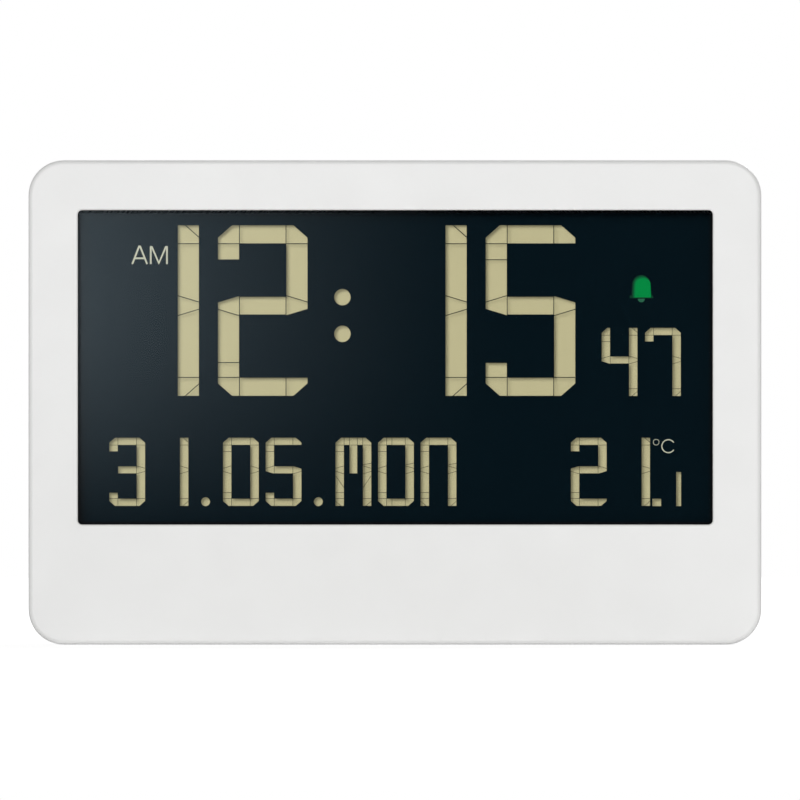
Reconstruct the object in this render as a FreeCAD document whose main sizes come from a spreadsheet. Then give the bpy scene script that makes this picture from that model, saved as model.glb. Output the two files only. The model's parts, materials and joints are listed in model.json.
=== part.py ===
import FreeCAD, Part
import Sketcher

import math
import os

# Day clock, millimetres. +X right seen from the front, +Y to the back, +Z up.
# The origin is the middle of the bottom face's bounding box.

doc = FreeCAD.newDocument("DayClock")
sheet = doc.addObject("Spreadsheet::Sheet", "Dims")

DIMENSIONS = {
    "Case": {
        "case_wide": 230, "case_tall": 152, "case_deep": 30,
        "case_corner": 11.1, "case_wall": 2.2, "face_thick": 2.0, "back_thick": 2.0,
        "cover_deep": 8.0, "front_chamfer": 0.8, "back_chamfer": 2.0, "seam_chamfer": 0.3,
        "lip_gap": 0.15, "lip_thick": 1.2, "lip_tall": 2.0,
        "rib_thick": 1.2, "rib_tall": 2.0, "rib_pitch": 49, "rib_count": 5,
    },
    "Window and lens": {
        "window_wide": 199.3, "window_tall": 98.7, "window_down": 15.65, "window_shift": 0.1,
        "window_corner": 1.4, "window_chamfer": 0.35,
        "lens_gap": 0.15, "lens_recess": 0.4,
        "tape_thick": 0.1, "tape_wide": 0.8, "ledge_reach": 0.9, "ledge_thick": 1.0,
        "ledge_band": 4.0,
    },
    "Display": {
        "gasket_thick": 0.5, "gasket_inset": 0.4,
        "glass_wide": 202, "front_glass_tall": 102, "rear_glass_tall": 98, "glass_thick": 1.1,
        "mask_thick": 0.06, "film_gap": 0.02, "reflector_thick": 0.2, "reflector_gap": 0.08,
        "filter_thick": 0.04, "frame_gap": 0.2, "frame_wall": 1.8, "frame_plate": 1.3,
        "zebra_thick": 1.2, "zebra_wide": 190, "zebra_gap": 0.25,
    },
    "Characters": {
        "digit_wide": 28.36, "digit_tall": 53.78, "stroke_wide": 6.87, "stroke_tall": 5.91,
        "digit_pitch": 34.1, "hour_left": -89.8, "minute_left": -5.72, "time_up": 40.31,
        "middle_up": 28.43, "middle_half": 2.89, "middle_inner": 3.17, "middle_outer": 1.1,
        "serif_upper": 42.83, "serif_lower": 10.57, "chamfer_wide": 4.49, "chamfer_tall": 3.95,
        "center_half": 3.14, "separator": 0.26, "small_separator": 0.14, "small_scale": 0.4,
        "colon_x": -16.49, "colon_lower": 19.58, "colon_upper": 31.09, "colon_radius": 2.57,
        "second_tens": 64.85, "second_units": 78.47, "date_up": 5.81,
        "day_tens": -89.74, "day_units": -76.15, "month_tens": -54.05, "month_units": -40.65,
        "point_radius": 1.38, "day_point": -59.46, "month_point": -24.05,
        "weekday_left": -18.72, "weekday_pitch": 13.36,
        "degree_tens": 55.18, "degree_units": 68.80, "tenth_left": 88.33, "tenth_wide": 1.5,
        "tenth_tall": 10.67, "decimal_left": 80.86, "decimal_wide": 2.7, "decimal_tall": 2.29,
        "bell_x": 77.5, "bell_up": 30.81, "bell_tall": 7.12, "bell_half": 2.75,
        "bell_dome": 2.1, "bell_flare": 2.3, "bell_rim_half": 3.56, "bell_rim_tall": 0.47,
        "clapper_half": 1.02, "clapper_tall": 1.0, "clapper_drop": 1.48, "filter_margin": 1.2,
    },
    "Main board": {
        "board_wide": 196, "board_down": 5, "board_tall": 120, "board_thick": 1.6,
        "hook_x": 62, "hook_wide": 7, "hook_thick": 1.5, "hook_gap": 0.15, "hook_reach": 0.9,
        "hook_lip": 1.2,
        "chip_x": 42, "chip_up": 65, "chip_radius": 5.5, "chip_tall": 1.6,
        "crystal_x": 55, "crystal_up": 65, "crystal_radius": 1.0, "crystal_long": 6.2,
        "capacitor_x": 36, "capacitor_up": 51, "capacitor_pitch": 4.5, "capacitor_count": 6,
        "capacitor_long": 2.0, "capacitor_wide": 1.25, "capacitor_tall": 0.9,
        "can_x": 62, "can_up": 49, "can_radius": 2.5, "can_tall": 6.5,
        "thermistor_x": 84, "thermistor_up": 19, "thermistor_radius": 1.8,
        "thermistor_thick": 1.6, "thermistor_stand": 5.0, "leg_wide": 0.5, "leg_pitch": 2.0,
    },
    "Case screws": {
        "boss_in": 8.0, "boss_up": 9.2, "boss_reach": 2.6,
        "boss_gap": 0.1, "boss_pilot": 1.35, "boss_pilot_deep": 9.0,
        "cover_boss_reach": 4.3, "sink_radius": 3.3, "sink_deep": 6.0, "screw_hole": 1.7,
        "screw_radius": 1.3, "screw_long": 8.0, "screw_head": 2.75, "screw_head_tall": 1.8,
        "cross_long": 3.0, "cross_wide": 0.8, "cross_deep": 0.9,
    },
    "Stand": {
        "stand_wide": 88, "stand_tip_round": 6, "stand_thick": 3.6,
        "hinge_drop": 12, "hinge_in": 2.4, "stand_tip_up": 3.0, "heel_tall": 2.8,
        "stand_gap": 0.5, "recess_deep": 5.0, "recess_floor": 2.0, "recess_wall": 2.0,
        "trunnion_radius": 1.5, "trunnion_long": 1.7, "trunnion_gap": 0.08,
        "notch_wide": 24, "hollow_deep": 1.8, "hollow_margin": 4.0,
        "hollow_rib": 2.0, "grip_tall": 0.25, "grip_wide": 26, "grip_thick": 0.9,
        "grip_pitch": 2.4, "grip_count": 4,
        "bump_wide": 8, "bump_tall": 2.0, "bump_gap": 0.05, "bump_x": 26, "bump_up": 12,
        "tip_notch_wide": 20, "tip_notch_tall": 4.0,
        "pad_wide": 18, "pad_x": 25, "pad_tall": 3.0, "pad_thick": 2.2,
    },
    "Battery bay": {
        "bay_long": 58, "bay_drop": 43, "bay_tall": 32, "bay_deep": 14.9, "bay_wall": 1.6,
        "bay_floor": 1.4, "divider_thick": 1.2, "divider_tall": 4.0,
        "cell_radius": 7.1, "cell_long": 50.5, "cell_pitch": 16, "cell_seat": 0.2,
        "nub_radius": 2.75, "nub_long": 1.2,
        "contact_thick": 0.4, "contact_wide": 11, "contact_tall": 12.0, "dimple_radius": 2.5,
        "dimple_tall": 0.3, "leaf_wide": 7.0, "tail_wide": 3.0, "tail_long": 2.2,
        "tail_gap": 0.1, "lead_radius": 0.6, "lead_reach": 16, "lead_drop": 14,
    },
    "Battery door": {
        "door_wide": 66, "door_gap": 0.3, "door_thick": 1.7, "door_sink": 0.1,
        "door_axis_drop": 2.7, "door_axis_in": 1.4, "barrel_radius": 1.3, "door_rise": 4,
        "shelf_thick": 1.6, "shelf_margin": 3.2, "door_pin_radius": 0.8,
        "door_pin_long": 1.4, "door_pin_gap": 0.06, "door_corner": 1.5,
        "latch_wide": 12, "latch_tall": 9, "latch_slot": 0.8, "latch_bump": 0.22,
        "latch_bump_tall": 0.7, "finger_wide": 16, "finger_tall": 4, "finger_deep": 1.2,
        "door_grip_pitch": 2.0, "door_grip_count": 4, "door_grip_tall": 0.25,
        "door_grip_thick": 0.8,
    },
    "Controls": {
        "panel_wide": 96, "panel_down": 33, "panel_tall": 20, "panel_deep": 1.0,
        "panel_back": 1.0, "panel_margin": 2.0,
        "button_x": -36, "button_pitch": 16, "button_long": 10, "button_wide": 6,
        "button_gap": 0.2, "button_rise": 0.8, "button_chamfer": 0.3, "flange_thick": 0.8,
        "flange_reach": 1.1, "button_travel": 0.4,
        "keyboard_gap": 5.2, "keyboard_wide": 100, "keyboard_tall": 16, "keyboard_thick": 1.6,
        "keyboard_stop_x": 46, "switch_side": 6.0, "switch_tall": 3.4, "stem_side": 3.0,
        "stem_gap": 0.1, "stem_deep": 0.6, "slider_x": 29, "slider_travel": 3.0,
        "slider_long": 4.0, "slider_wide": 4.0, "slider_gap": 0.2, "slider_flange": 1.2,
        "slider_body_long": 12, "slider_body_wide": 6, "slider_neck": 1.6,
        "slot_deep": 1.7, "neck_deep": 1.36,
        "reset_x": 42, "reset_radius": 0.8, "ribbon_wide": 14, "ribbon_thick": 0.8,
        "ribbon_drop": 1, "ribbon_tail": 5, "ribbon_grip": 4,
    },
    "Back openings": {
        "keyhole_x": 75, "keyhole_down": 37, "keyhole_radius": 4.25, "keyhole_neck": 2.1,
        "keyhole_rise": 8, "keyhole_deep": 4.5, "keyhole_wall": 1.2,
        "buzzer_in": 33, "buzzer_z": 40, "sound_radius": 8, "sound_pitch": 3,
        "sound_slot": 1.5, "sound_count": 5, "buzzer_seat_outer": 11.5, "buzzer_seat_inner": 9,
        "buzzer_seat_tall": 1.5, "buzzer_disc_radius": 10.5, "buzzer_disc_thick": 0.25,
        "ceramic_radius": 7, "ceramic_thick": 0.25, "buzzer_lead_radius": 0.45,
        "vent_in": 42, "vent_low": 36, "vent_long": 18, "vent_wide": 1.6, "vent_pitch": 4,
        "vent_count": 5,
    },
}


class Size:
    """A length as a spreadsheet expression, with the number it has now."""

    def __init__(self, text, value):
        self.text = text
        self.value = value

    def join(self, sign, other, value):
        return Size(f"({self.text} {sign} {as_size(other).text})", value)

    def __add__(self, other):
        return self.join("+", other, self.value + as_size(other).value)

    def __sub__(self, other):
        return self.join("-", other, self.value - as_size(other).value)

    def __mul__(self, other):
        return self.join("*", other, self.value * as_size(other).value)

    def __truediv__(self, other):
        return self.join("/", other, self.value / as_size(other).value)

    def __neg__(self):
        return Size(f"(0 - {self.text})", -self.value)

    def __radd__(self, other):
        return as_size(other) + self

    def __rsub__(self, other):
        return as_size(other) - self

    def __rmul__(self, other):
        return as_size(other) * self


def as_size(number):
    return number if isinstance(number, Size) else Size(f"({number})", float(number))


class Dimensions:
    """The spreadsheet's cells, by alias."""

    def __init__(self, groups):
        row = 1
        for group, cells in groups.items():
            sheet.set(f"A{row}", group)
            row += 1
            for alias, number in cells.items():
                sheet.set(f"A{row}", alias)
                sheet.set(f"B{row}", str(number))
                sheet.setAlias(f"B{row}", alias)
                setattr(self, alias, Size(f"Dims.{alias}", float(number)))
                row += 1


D = Dimensions(DIMENSIONS)
doc.recompute()


# ---- sketches and features ----

def bind(item, prop, size):
    item.setExpression(prop, as_size(size).text)


def new_body(label):
    item = doc.addObject("PartDesign::Body", label)
    item.Label = label
    return item


def new_sketch(body, name, role, offset):
    item = body.newObject("Sketcher::SketchObject", name)
    plane = next(feature for feature in body.Origin.OriginFeatures if feature.Role == role)
    item.AttachmentSupport = (plane, [""])
    item.MapMode = "FlatFace"
    bind(item, ".AttachmentOffset.Base.z", offset)
    return item


def fix_point(sketch, geometry, point, x, y):
    """Holds one point of the sketch at x, y."""
    for kind, size in (("DistanceX", as_size(x)), ("DistanceY", as_size(y))):
        index = sketch.addConstraint(Sketcher.Constraint(kind, -1, 1, geometry, point, size.value))
        sketch.setExpression(f"Constraints[{index}]", size.text)


def fix_radius(sketch, geometry, radius):
    size = as_size(radius)
    index = sketch.addConstraint(Sketcher.Constraint("Radius", geometry, size.value))
    sketch.setExpression(f"Constraints[{index}]", size.text)


def vector(x, y):
    return FreeCAD.Vector(as_size(x).value, as_size(y).value, 0)


def circle(sketch, x, y, radius):
    shape = Part.Circle(vector(x, y), FreeCAD.Vector(0, 0, 1), as_size(radius).value)
    geometry = sketch.addGeometry(shape, False)
    fix_radius(sketch, geometry, radius)
    fix_point(sketch, geometry, 3, x, y)


def polygon(sketch, points):
    """A closed outline with straight sides through the points."""
    ends = points[1:] + points[:1]
    lines = [sketch.addGeometry(Part.LineSegment(vector(*a), vector(*b)), False)
             for a, b in zip(points, ends)]
    for line, following in zip(lines, lines[1:] + lines[:1]):
        sketch.addConstraint(Sketcher.Constraint("Coincident", line, 2, following, 1))
    for line, point in zip(lines, points):
        fix_point(sketch, line, 1, *point)


def rectangle(sketch, left, right, low, high):
    polygon(sketch, [(left, low), (right, low), (right, high), (left, high)])


def round_outline(sketch, centers, radius):
    """Lines and tangent arcs round the centres, taken anticlockwise."""
    count = len(centers)
    places = [vector(*center) for center in centers]
    reach = as_size(radius).value
    turns = []
    for index, place in enumerate(places):
        step = places[(index + 1) % count] - place
        turns.append(math.atan2(step.y, step.x) - math.pi / 2)
    arcs = []
    for index, place in enumerate(places):
        start = turns[index - 1]
        sweep = (turns[index] - start) % (2 * math.pi)
        ring = Part.Circle(place, FreeCAD.Vector(0, 0, 1), reach)
        arcs.append(sketch.addGeometry(Part.ArcOfCircle(ring, start, start + sweep), False))
    for index, arc in enumerate(arcs):
        following = arcs[(index + 1) % count]
        side = FreeCAD.Vector(math.cos(turns[index]), math.sin(turns[index]), 0) * reach
        side_line = Part.LineSegment(places[index] + side, places[(index + 1) % count] + side)
        line = sketch.addGeometry(side_line, False)
        sketch.addConstraint(Sketcher.Constraint("Tangent", arc, 2, line, 1))
        sketch.addConstraint(Sketcher.Constraint("Tangent", line, 2, following, 1))
    fix_radius(sketch, arcs[0], radius)
    for arc, center in zip(arcs, centers):
        fix_point(sketch, arc, 3, *center)
        if arc != arcs[0]:
            sketch.addConstraint(Sketcher.Constraint("Equal", arcs[0], arc))


def rounded(sketch, left, right, low, high, radius):
    corners = [(left + radius, low + radius), (right - radius, low + radius),
               (right - radius, high - radius), (left + radius, high - radius)]
    round_outline(sketch, corners, radius)


def feature(body, kind, name, profile, length):
    item = body.newObject(kind, name)
    item.Profile = profile
    item.Refine = False
    bind(item, "Length", length)
    doc.recompute()
    return item


def plate(body, name, front, back, draw):
    """Adds what draw outlines in X and Z, between two depths."""
    sketch = new_sketch(body, name + "_sketch", "XZ_Plane", -back)
    draw(sketch)
    return feature(body, "PartDesign::Pad", name, sketch, back - front)


def cut(body, name, front, back, draw):
    """Removes what draw outlines in X and Z, between two depths."""
    sketch = new_sketch(body, name + "_sketch", "XZ_Plane", -front)
    draw(sketch)
    return feature(body, "PartDesign::Pocket", name, sketch, back - front)


def bar(body, name, left, right, draw):
    """Adds what draw outlines in Y and Z, from left to right."""
    sketch = new_sketch(body, name + "_sketch", "YZ_Plane", left)
    draw(sketch)
    return feature(body, "PartDesign::Pad", name, sketch, right - left)


def bar_cut(body, name, left, right, draw):
    """Removes what draw outlines in Y and Z, from left to right."""
    sketch = new_sketch(body, name + "_sketch", "YZ_Plane", right)
    draw(sketch)
    return feature(body, "PartDesign::Pocket", name, sketch, right - left)


def layer(body, name, low, high, draw):
    """Adds what draw outlines in X and Y, from low to high."""
    sketch = new_sketch(body, name + "_sketch", "XY_Plane", low)
    draw(sketch)
    return feature(body, "PartDesign::Pad", name, sketch, high - low)


def edges_where(item, test):
    """Names of the edges whose ends and middle all pass the test."""
    names = []
    for index, edge in enumerate(item.Shape.Edges, 1):
        middle = edge.valueAt((edge.FirstParameter + edge.LastParameter) / 2)
        points = [vertex.Point for vertex in edge.Vertexes] + [middle]
        if all(test(point) for point in points):
            names.append(f"Edge{index}")
    return names


def soften(body, kind, name, size, test):
    """Fillets or chamfers the edges of the body's last feature that pass the test."""
    base = body.Tip
    item = body.newObject(kind, name)
    item.Base = (base, edges_where(base, test))
    bind(item, "Size" if kind.endswith("Chamfer") else "Radius", size)
    doc.recompute()
    return item


def fillet(body, name, radius, test):
    return soften(body, "PartDesign::Fillet", name, radius, test)


def chamfer(body, name, size, test):
    return soften(body, "PartDesign::Chamfer", name, size, test)


def at_depth(depth):
    return lambda point: abs(point.y - as_size(depth).value) < NEAR


NEAR = 0.001

# ---- depths from the front face to the back, and heights ----

front = -D.case_deep / 2
back = D.case_deep / 2
half_wide = D.case_wide / 2
face_back = front + D.face_thick
ledge_back = face_back + D.ledge_thick
tape_front = face_back - D.tape_thick
lens_front = front + D.lens_recess
gasket_back = ledge_back + D.gasket_thick
front_glass_back = gasket_back + D.glass_thick
mask_front = front_glass_back + D.film_gap
mask_back = mask_front + D.mask_thick
rear_glass_front = mask_back + D.film_gap
rear_glass_back = rear_glass_front + D.glass_thick
reflector_front = rear_glass_back + D.reflector_gap
reflector_back = reflector_front + D.reflector_thick
board_front = reflector_back + D.frame_plate
board_back = board_front + D.board_thick
seam = back - D.cover_deep
back_inner = back - D.back_thick

window_left = D.window_shift - D.window_wide / 2
window_right = D.window_shift + D.window_wide / 2
window_high = D.case_tall - D.window_down
window_low = window_high - D.window_tall
window_middle = window_high - D.window_tall / 2
time_low = window_low + D.time_up
date_low = window_low + D.date_up
bell_low = time_low + D.bell_up

board_low = D.case_tall - D.board_down - D.board_tall
chip_z = board_low + D.chip_up
crystal_z = board_low + D.crystal_up
capacitor_z = board_low + D.capacitor_up
can_z = board_low + D.can_up
thermistor_z = board_low + D.thermistor_up

boss_x = half_wide - D.boss_in
case_bosses = [(x, z) for z in (D.boss_up, D.case_tall - D.boss_up) for x in (-boss_x, boss_x)]


def window_outline(inset, corner):
    """The window's outline, moved inwards by inset (outwards if negative)."""
    def draw(sketch):
        rounded(sketch, window_left + inset, window_right - inset,
                window_low + inset, window_high - inset, corner)
    return draw


def case_outline(inset):
    def draw(sketch):
        rounded(sketch, inset - half_wide, half_wide - inset,
                as_size(inset), D.case_tall - inset, D.case_corner - inset)
    return draw


def display_box(wide, tall):
    """A rectangle of this size round the middle of the window."""
    def draw(sketch):
        rectangle(sketch, D.window_shift - wide / 2, D.window_shift + wide / 2,
                  window_middle - tall / 2, window_middle + tall / 2)
    return draw


def dots(places, radius):
    def draw(sketch):
        for x, z in places:
            circle(sketch, x, z, radius)
    return draw


def squares(reach):
    """A square round each case screw."""
    def draw(sketch):
        for x, z in case_bosses:
            rectangle(sketch, x - reach, x + reach, z - reach, z + reach)
    return draw


def box(left, right, low, high):
    return lambda sketch: rectangle(sketch, left, right, low, high)


# ---- front housing, lens and tape ----

def front_housing():
    body = new_body("front_housing")
    plate(body, "shell", front, seam, case_outline(as_size(0)))
    chamfer(body, "front_edge", D.front_chamfer, at_depth(front))
    chamfer(body, "seam_edge", D.seam_chamfer, at_depth(seam))
    cut(body, "hollow", face_back, seam, case_outline(D.case_wall))
    plate(body, "ledge", face_back, ledge_back, window_outline(-D.ledge_band, D.window_corner))
    cut(body, "window", front, face_back, window_outline(as_size(0), D.window_corner))
    chamfer(body, "window_edge", D.window_chamfer,
           lambda point: abs(point.y - front.value) < NEAR
           and abs(point.x) < window_right.value + 1
           and window_low.value - 1 < point.z < window_high.value + 1)
    cut(body, "opening", face_back, ledge_back,
        window_outline(D.ledge_reach, D.window_corner - D.ledge_reach))
    plate(body, "hook_posts", face_back, board_back + D.hook_lip, board_hooks(as_size(0)))
    plate(body, "hook_lips", board_back, board_back + D.hook_lip,
          board_hooks(D.hook_gap + D.hook_reach))
    plate(body, "case_bosses", face_back, seam - D.boss_gap, squares(D.boss_reach))
    cut(body, "case_pilots", seam - D.boss_pilot_deep, seam,
        dots(case_bosses, D.boss_pilot))
    plate(body, "ribs", face_back, face_back + D.rib_tall, front_ribs)
    return body


def board_hooks(overhang):
    """Four snap hooks above and below the main board, reaching over it by overhang."""
    low_edge = board_low - D.hook_gap
    high_edge = board_low + D.board_tall + D.hook_gap

    def draw(sketch):
        for x in (-D.hook_x, D.hook_x):
            left = x - D.hook_wide / 2
            right = x + D.hook_wide / 2
            rectangle(sketch, left, right, low_edge - D.hook_thick, low_edge + overhang)
            rectangle(sketch, left, right, high_edge - overhang, high_edge + D.hook_thick)
    return draw


def front_ribs(sketch):
    """Stiffening ribs between the bottom wall and the ledge."""
    top = window_low - D.ledge_band
    count = round(D.rib_count.value)
    for place in range(count):
        x = D.rib_pitch * (place - (count - 1) / 2)
        rectangle(sketch, x - D.rib_thick / 2, x + D.rib_thick / 2, D.case_wall / 2, top)


def ring(label, outer_front, outer_back, outer, inner):
    body = new_body(label)
    plate(body, "outer", outer_front, outer_back, outer)
    cut(body, "inner", outer_front, outer_back, inner)
    return body


def lens_tape():
    inner_corner = D.window_corner - D.tape_wide
    return ring("lens_tape", tape_front, face_back,
                window_outline(D.lens_gap, D.window_corner - D.lens_gap),
                window_outline(D.lens_gap + D.tape_wide, inner_corner - D.lens_gap))


def display_lens():
    body = new_body("display_lens")
    plate(body, "sheet", lens_front, tape_front,
          window_outline(D.lens_gap, D.window_corner - D.lens_gap))
    return body


# ---- liquid crystal display ----

def glass_sheet(label, sheet_front, sheet_back, tall):
    body = new_body(label)
    plate(body, "sheet", sheet_front, sheet_back, display_box(D.glass_wide, tall))
    return body


def lcd_gasket():
    inset = D.gasket_inset
    return ring("lcd_gasket", ledge_back, gasket_back,
                display_box(D.glass_wide, D.front_glass_tall),
                display_box(D.window_wide - inset, D.window_tall - inset))


def lcd_frame():
    body = new_body("lcd_frame")
    hollow_wide = D.glass_wide + D.frame_gap * 2
    hollow_tall = D.front_glass_tall + D.frame_gap * 2
    plate(body, "tray", ledge_back, board_front,
          display_box(hollow_wide + D.frame_wall * 2, hollow_tall + D.frame_wall * 2))
    cut(body, "hollow", ledge_back, reflector_back, display_box(hollow_wide, hollow_tall))
    cut(body, "zebra_slots", reflector_back, board_front, zebra_outlines(D.zebra_gap / 2))
    return body


def zebra_outlines(margin):
    """The two contact strips above and below the rear glass, with a margin."""
    band_low = window_middle - D.front_glass_tall / 2
    band_high = window_middle + D.front_glass_tall / 2
    half = D.zebra_wide / 2 + margin

    def draw(sketch):
        for low in (band_low + D.zebra_gap, band_high - D.zebra_gap - D.zebra_thick):
            rectangle(sketch, D.window_shift - half, D.window_shift + half,
                      low - margin, low + D.zebra_thick + margin)
    return draw


def zebra_strips():
    body = new_body("zebra_strips")
    plate(body, "strips", front_glass_back, board_front, zebra_outlines(as_size(0)))
    return body


def lcd_reflector():
    return glass_sheet("lcd_reflector", reflector_front, reflector_back, D.rear_glass_tall)


def bell_filter():
    body = new_body("bell_filter")
    half = D.bell_rim_half + D.filter_margin
    plate(body, "film", reflector_front - D.filter_thick, reflector_front,
          box(D.bell_x - half, D.bell_x + half,
              bell_low - D.clapper_drop - D.filter_margin,
              bell_low + D.bell_tall + D.filter_margin))
    return body


# ---- the windows of the segment mask ----

def span(left, right, low, high):
    return [(left, low), (right, low), (right, high), (left, high)]


def left_column(wide, tall, up, half_in, half_out):
    """Segments of a character's left column, by name."""
    upper = D.serif_upper.value
    lower = D.serif_lower.value
    top = D.digit_tall.value
    cut_wide = D.chamfer_wide.value
    cut_tall = D.chamfer_tall.value
    shoulder = top - tall
    over = [(0, up + half_out), (wide, up + half_in)]
    under = [(wide, up - half_in), (0, up - half_out)]
    return {
        "T": [(0, shoulder), (wide, shoulder), (wide, top), (cut_wide, top), (0, top - cut_tall)],
        "Tf": [(0, top - cut_tall), (cut_wide, top), (0, top)],
        "Us": span(0, wide, upper, shoulder),
        "Up": over + [(wide, upper), (0, upper)],
        "U": over + [(wide, shoulder), (0, shoulder)],
        "M": [under[1], under[0], over[1], over[0]],
        "Lp": [(0, lower), (wide, lower)] + under,
        "L": [(0, tall), (wide, tall)] + under,
        "Ls": span(0, wide, tall, lower),
        "B": [(0, cut_tall), (cut_wide, 0), (wide, 0), (wide, tall), (0, tall)],
        "Bf": [(0, 0), (cut_wide, 0), (0, cut_tall)],
    }


def segments():
    """Every segment of a large character: name to corner points, anticlockwise."""
    wide = D.digit_wide.value
    top = D.digit_tall.value
    stroke = D.stroke_wide.value
    tall = D.stroke_tall.value
    up = D.middle_up.value
    half = D.middle_half.value
    middle = wide / 2
    post = D.center_half.value
    column = left_column(stroke, tall, up, D.middle_inner.value, D.middle_outer.value)
    found = {}
    for name, points in column.items():
        found["l" + name] = points
        found["r" + name] = [(wide - x, z) for x, z in reversed(points)]
    rows = {"t": (top - tall, top), "m": (up - half, up + half), "b": (0, tall)}
    for name, (low, high) in rows.items():
        found[name] = span(stroke, wide - stroke, low, high)
        found[name + "1"] = span(stroke, middle - post, low, high)
        found[name + "2"] = span(middle - post, middle + post, low, high)
        found[name + "3"] = span(middle + post, wide - stroke, low, high)
        found[name + "4"] = span(middle - post, wide - stroke, low, high)
    found["post"] = span(middle - post, middle + post, up - half, top - tall)
    return found


LEFT_ALL = "lT lUs lUp lM lLp lLs lB"
RIGHT_ALL = "rT rU rM rL rB"
CHARACTERS = {
    "0": f"{LEFT_ALL} t b {RIGHT_ALL}",
    "1": f"{RIGHT_ALL} rTf rBf",
    "2": "lUs lT t rT rU rM m lM lLp lLs lB b rB",
    "3": "lUs lT t rT rU rM m rL rB b lB lLs",
    "4": f"lT lTf lUs lUp lM m {RIGHT_ALL} rTf rBf",
    "5": "lT t rT lUs lUp lM m rM rL rB b lB lLs",
    "7": f"lUs lT t {RIGHT_ALL} rBf",
    "M": f"{LEFT_ALL} lBf t1 t2 t3 post {RIGHT_ALL} rBf",
    "O": f"{LEFT_ALL} t1 t4 b1 b4 {RIGHT_ALL}",
    "N": f"{LEFT_ALL} lBf t {RIGHT_ALL} rBf",
}


def window_face(points, depth):
    corners = [FreeCAD.Vector(x, depth, z) for x, z in points]
    return Part.Face(Part.makePolygon(corners + corners[:1]))


def character(text, left, low, scale, separator):
    """One face for each lit segment, thinned by half a separator all round."""
    shapes = segments()
    faces = []
    for name in CHARACTERS[text].split():
        points = [(left.value + x * scale, low.value + z * scale) for x, z in shapes[name]]
        face = window_face(points, mask_front.value)
        faces.append(face.makeOffset2D(-separator.value / 2, 2))
    return faces


def disc_face(x, z, radius):
    place = FreeCAD.Vector(x.value, mask_front.value, z.value)
    edge = Part.makeCircle(radius.value, place, FreeCAD.Vector(0, 1, 0))
    return Part.Face(Part.Wire([edge]))


def bell_faces():
    """The alarm bell: domed body with its rim, and the clapper under it."""
    x = D.bell_x.value
    low = bell_low.value
    rim = low + D.bell_rim_tall.value
    high = low + D.bell_tall.value
    dome = D.bell_dome.value
    depth = mask_front.value

    def at(dx, z):
        return FreeCAD.Vector(x + dx, depth, z)

    shoulder = high - dome
    side = D.bell_half.value
    lip = D.bell_rim_half.value
    flare = D.bell_flare.value
    waist = (rim + shoulder) / 2
    flare_left = Part.Arc(at(-side, rim), at(-flare, waist), at(-dome, shoulder)).toShape()
    top = Part.Arc(at(-dome, shoulder), at(0, high), at(dome, shoulder)).toShape()
    flare_right = Part.Arc(at(dome, shoulder), at(flare, waist), at(side, rim)).toShape()
    rest = Part.makePolygon([at(side, rim), at(lip, rim), at(lip, low),
                             at(-lip, low), at(-lip, rim), at(-side, rim)])
    body = Part.Face(Part.Wire([flare_left, top, flare_right] + rest.Edges))
    drop = D.clapper_drop.value
    half = D.clapper_half.value
    clapper = window_face(span(x - half, x + half, low - drop,
                               low - drop + D.clapper_tall.value), depth)
    return [body, clapper]


def mask_windows():
    small = D.small_scale.value
    gap = D.separator
    fine_gap = D.small_separator
    faces = []
    for text, left in (("1", D.hour_left), ("2", D.hour_left + D.digit_pitch),
                       ("1", D.minute_left), ("5", D.minute_left + D.digit_pitch)):
        faces += character(text, left, time_low, 1, gap)
    for text, left in (("4", D.second_tens), ("7", D.second_units)):
        faces += character(text, left, time_low, small, fine_gap)
    date_row = (("3", D.day_tens), ("1", D.day_units), ("0", D.month_tens),
                ("5", D.month_units), ("2", D.degree_tens), ("1", D.degree_units))
    for text, left in date_row:
        faces += character(text, left, date_low, small, fine_gap)
    for place, text in enumerate("MON"):
        left = D.weekday_left + D.weekday_pitch * place
        faces += character(text, left, date_low, small, fine_gap)
    for up in (D.colon_lower, D.colon_upper):
        faces.append(disc_face(D.colon_x, time_low + up, D.colon_radius))
    for x in (D.day_point, D.month_point):
        faces.append(disc_face(x, date_low + D.point_radius, D.point_radius))
    low = date_low.value
    for left, wide, tall in ((D.decimal_left, D.decimal_wide, D.decimal_tall),
                             (D.tenth_left, D.tenth_wide, D.tenth_tall)):
        faces.append(window_face(span(left.value, left.value + wide.value,
                                      low, low + tall.value), mask_front.value))
    return faces + bell_faces()


def lcd_segment_mask():
    """A dark sheet with one window for each lit segment."""
    item = doc.addObject("Part::Feature", "lcd_segment_mask")
    item.Label = "lcd_segment_mask"
    half = D.glass_wide.value / 2
    tall = D.rear_glass_tall.value
    low = window_middle.value - tall / 2
    shift = D.window_shift.value
    sheet_face = window_face(span(shift - half, shift + half, low, low + tall),
                             mask_front.value)
    openings = Part.makeCompound(mask_windows())
    thick = FreeCAD.Vector(0, D.mask_thick.value, 0)
    item.Shape = sheet_face.cut(openings).Faces[0].extrude(thick)
    return item


# ---- main board and what is on it ----

def main_pcb():
    body = new_body("main_pcb")
    plate(body, "board", board_front, board_back,
          box(-D.board_wide / 2, D.board_wide / 2, board_low, board_low + D.board_tall))
    return body


def controller_chip():
    body = new_body("controller_chip")
    plate(body, "blob", board_back, board_back + D.chip_tall,
          dots([(D.chip_x, chip_z)], D.chip_radius))
    return body


def quartz_crystal():
    body = new_body("quartz_crystal")
    bar(body, "can", D.crystal_x - D.crystal_long / 2, D.crystal_x + D.crystal_long / 2,
        lambda sketch: circle(sketch, board_back + D.crystal_radius, crystal_z,
                              D.crystal_radius))
    return body


def chip_capacitors():
    body = new_body("chip_capacitors")

    def draw(sketch):
        for place in range(round(D.capacitor_count.value)):
            left = D.capacitor_x + D.capacitor_pitch * place
            rectangle(sketch, left, left + D.capacitor_wide, capacitor_z,
                      capacitor_z + D.capacitor_long)
    plate(body, "chips", board_back, board_back + D.capacitor_tall, draw)
    return body


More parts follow.
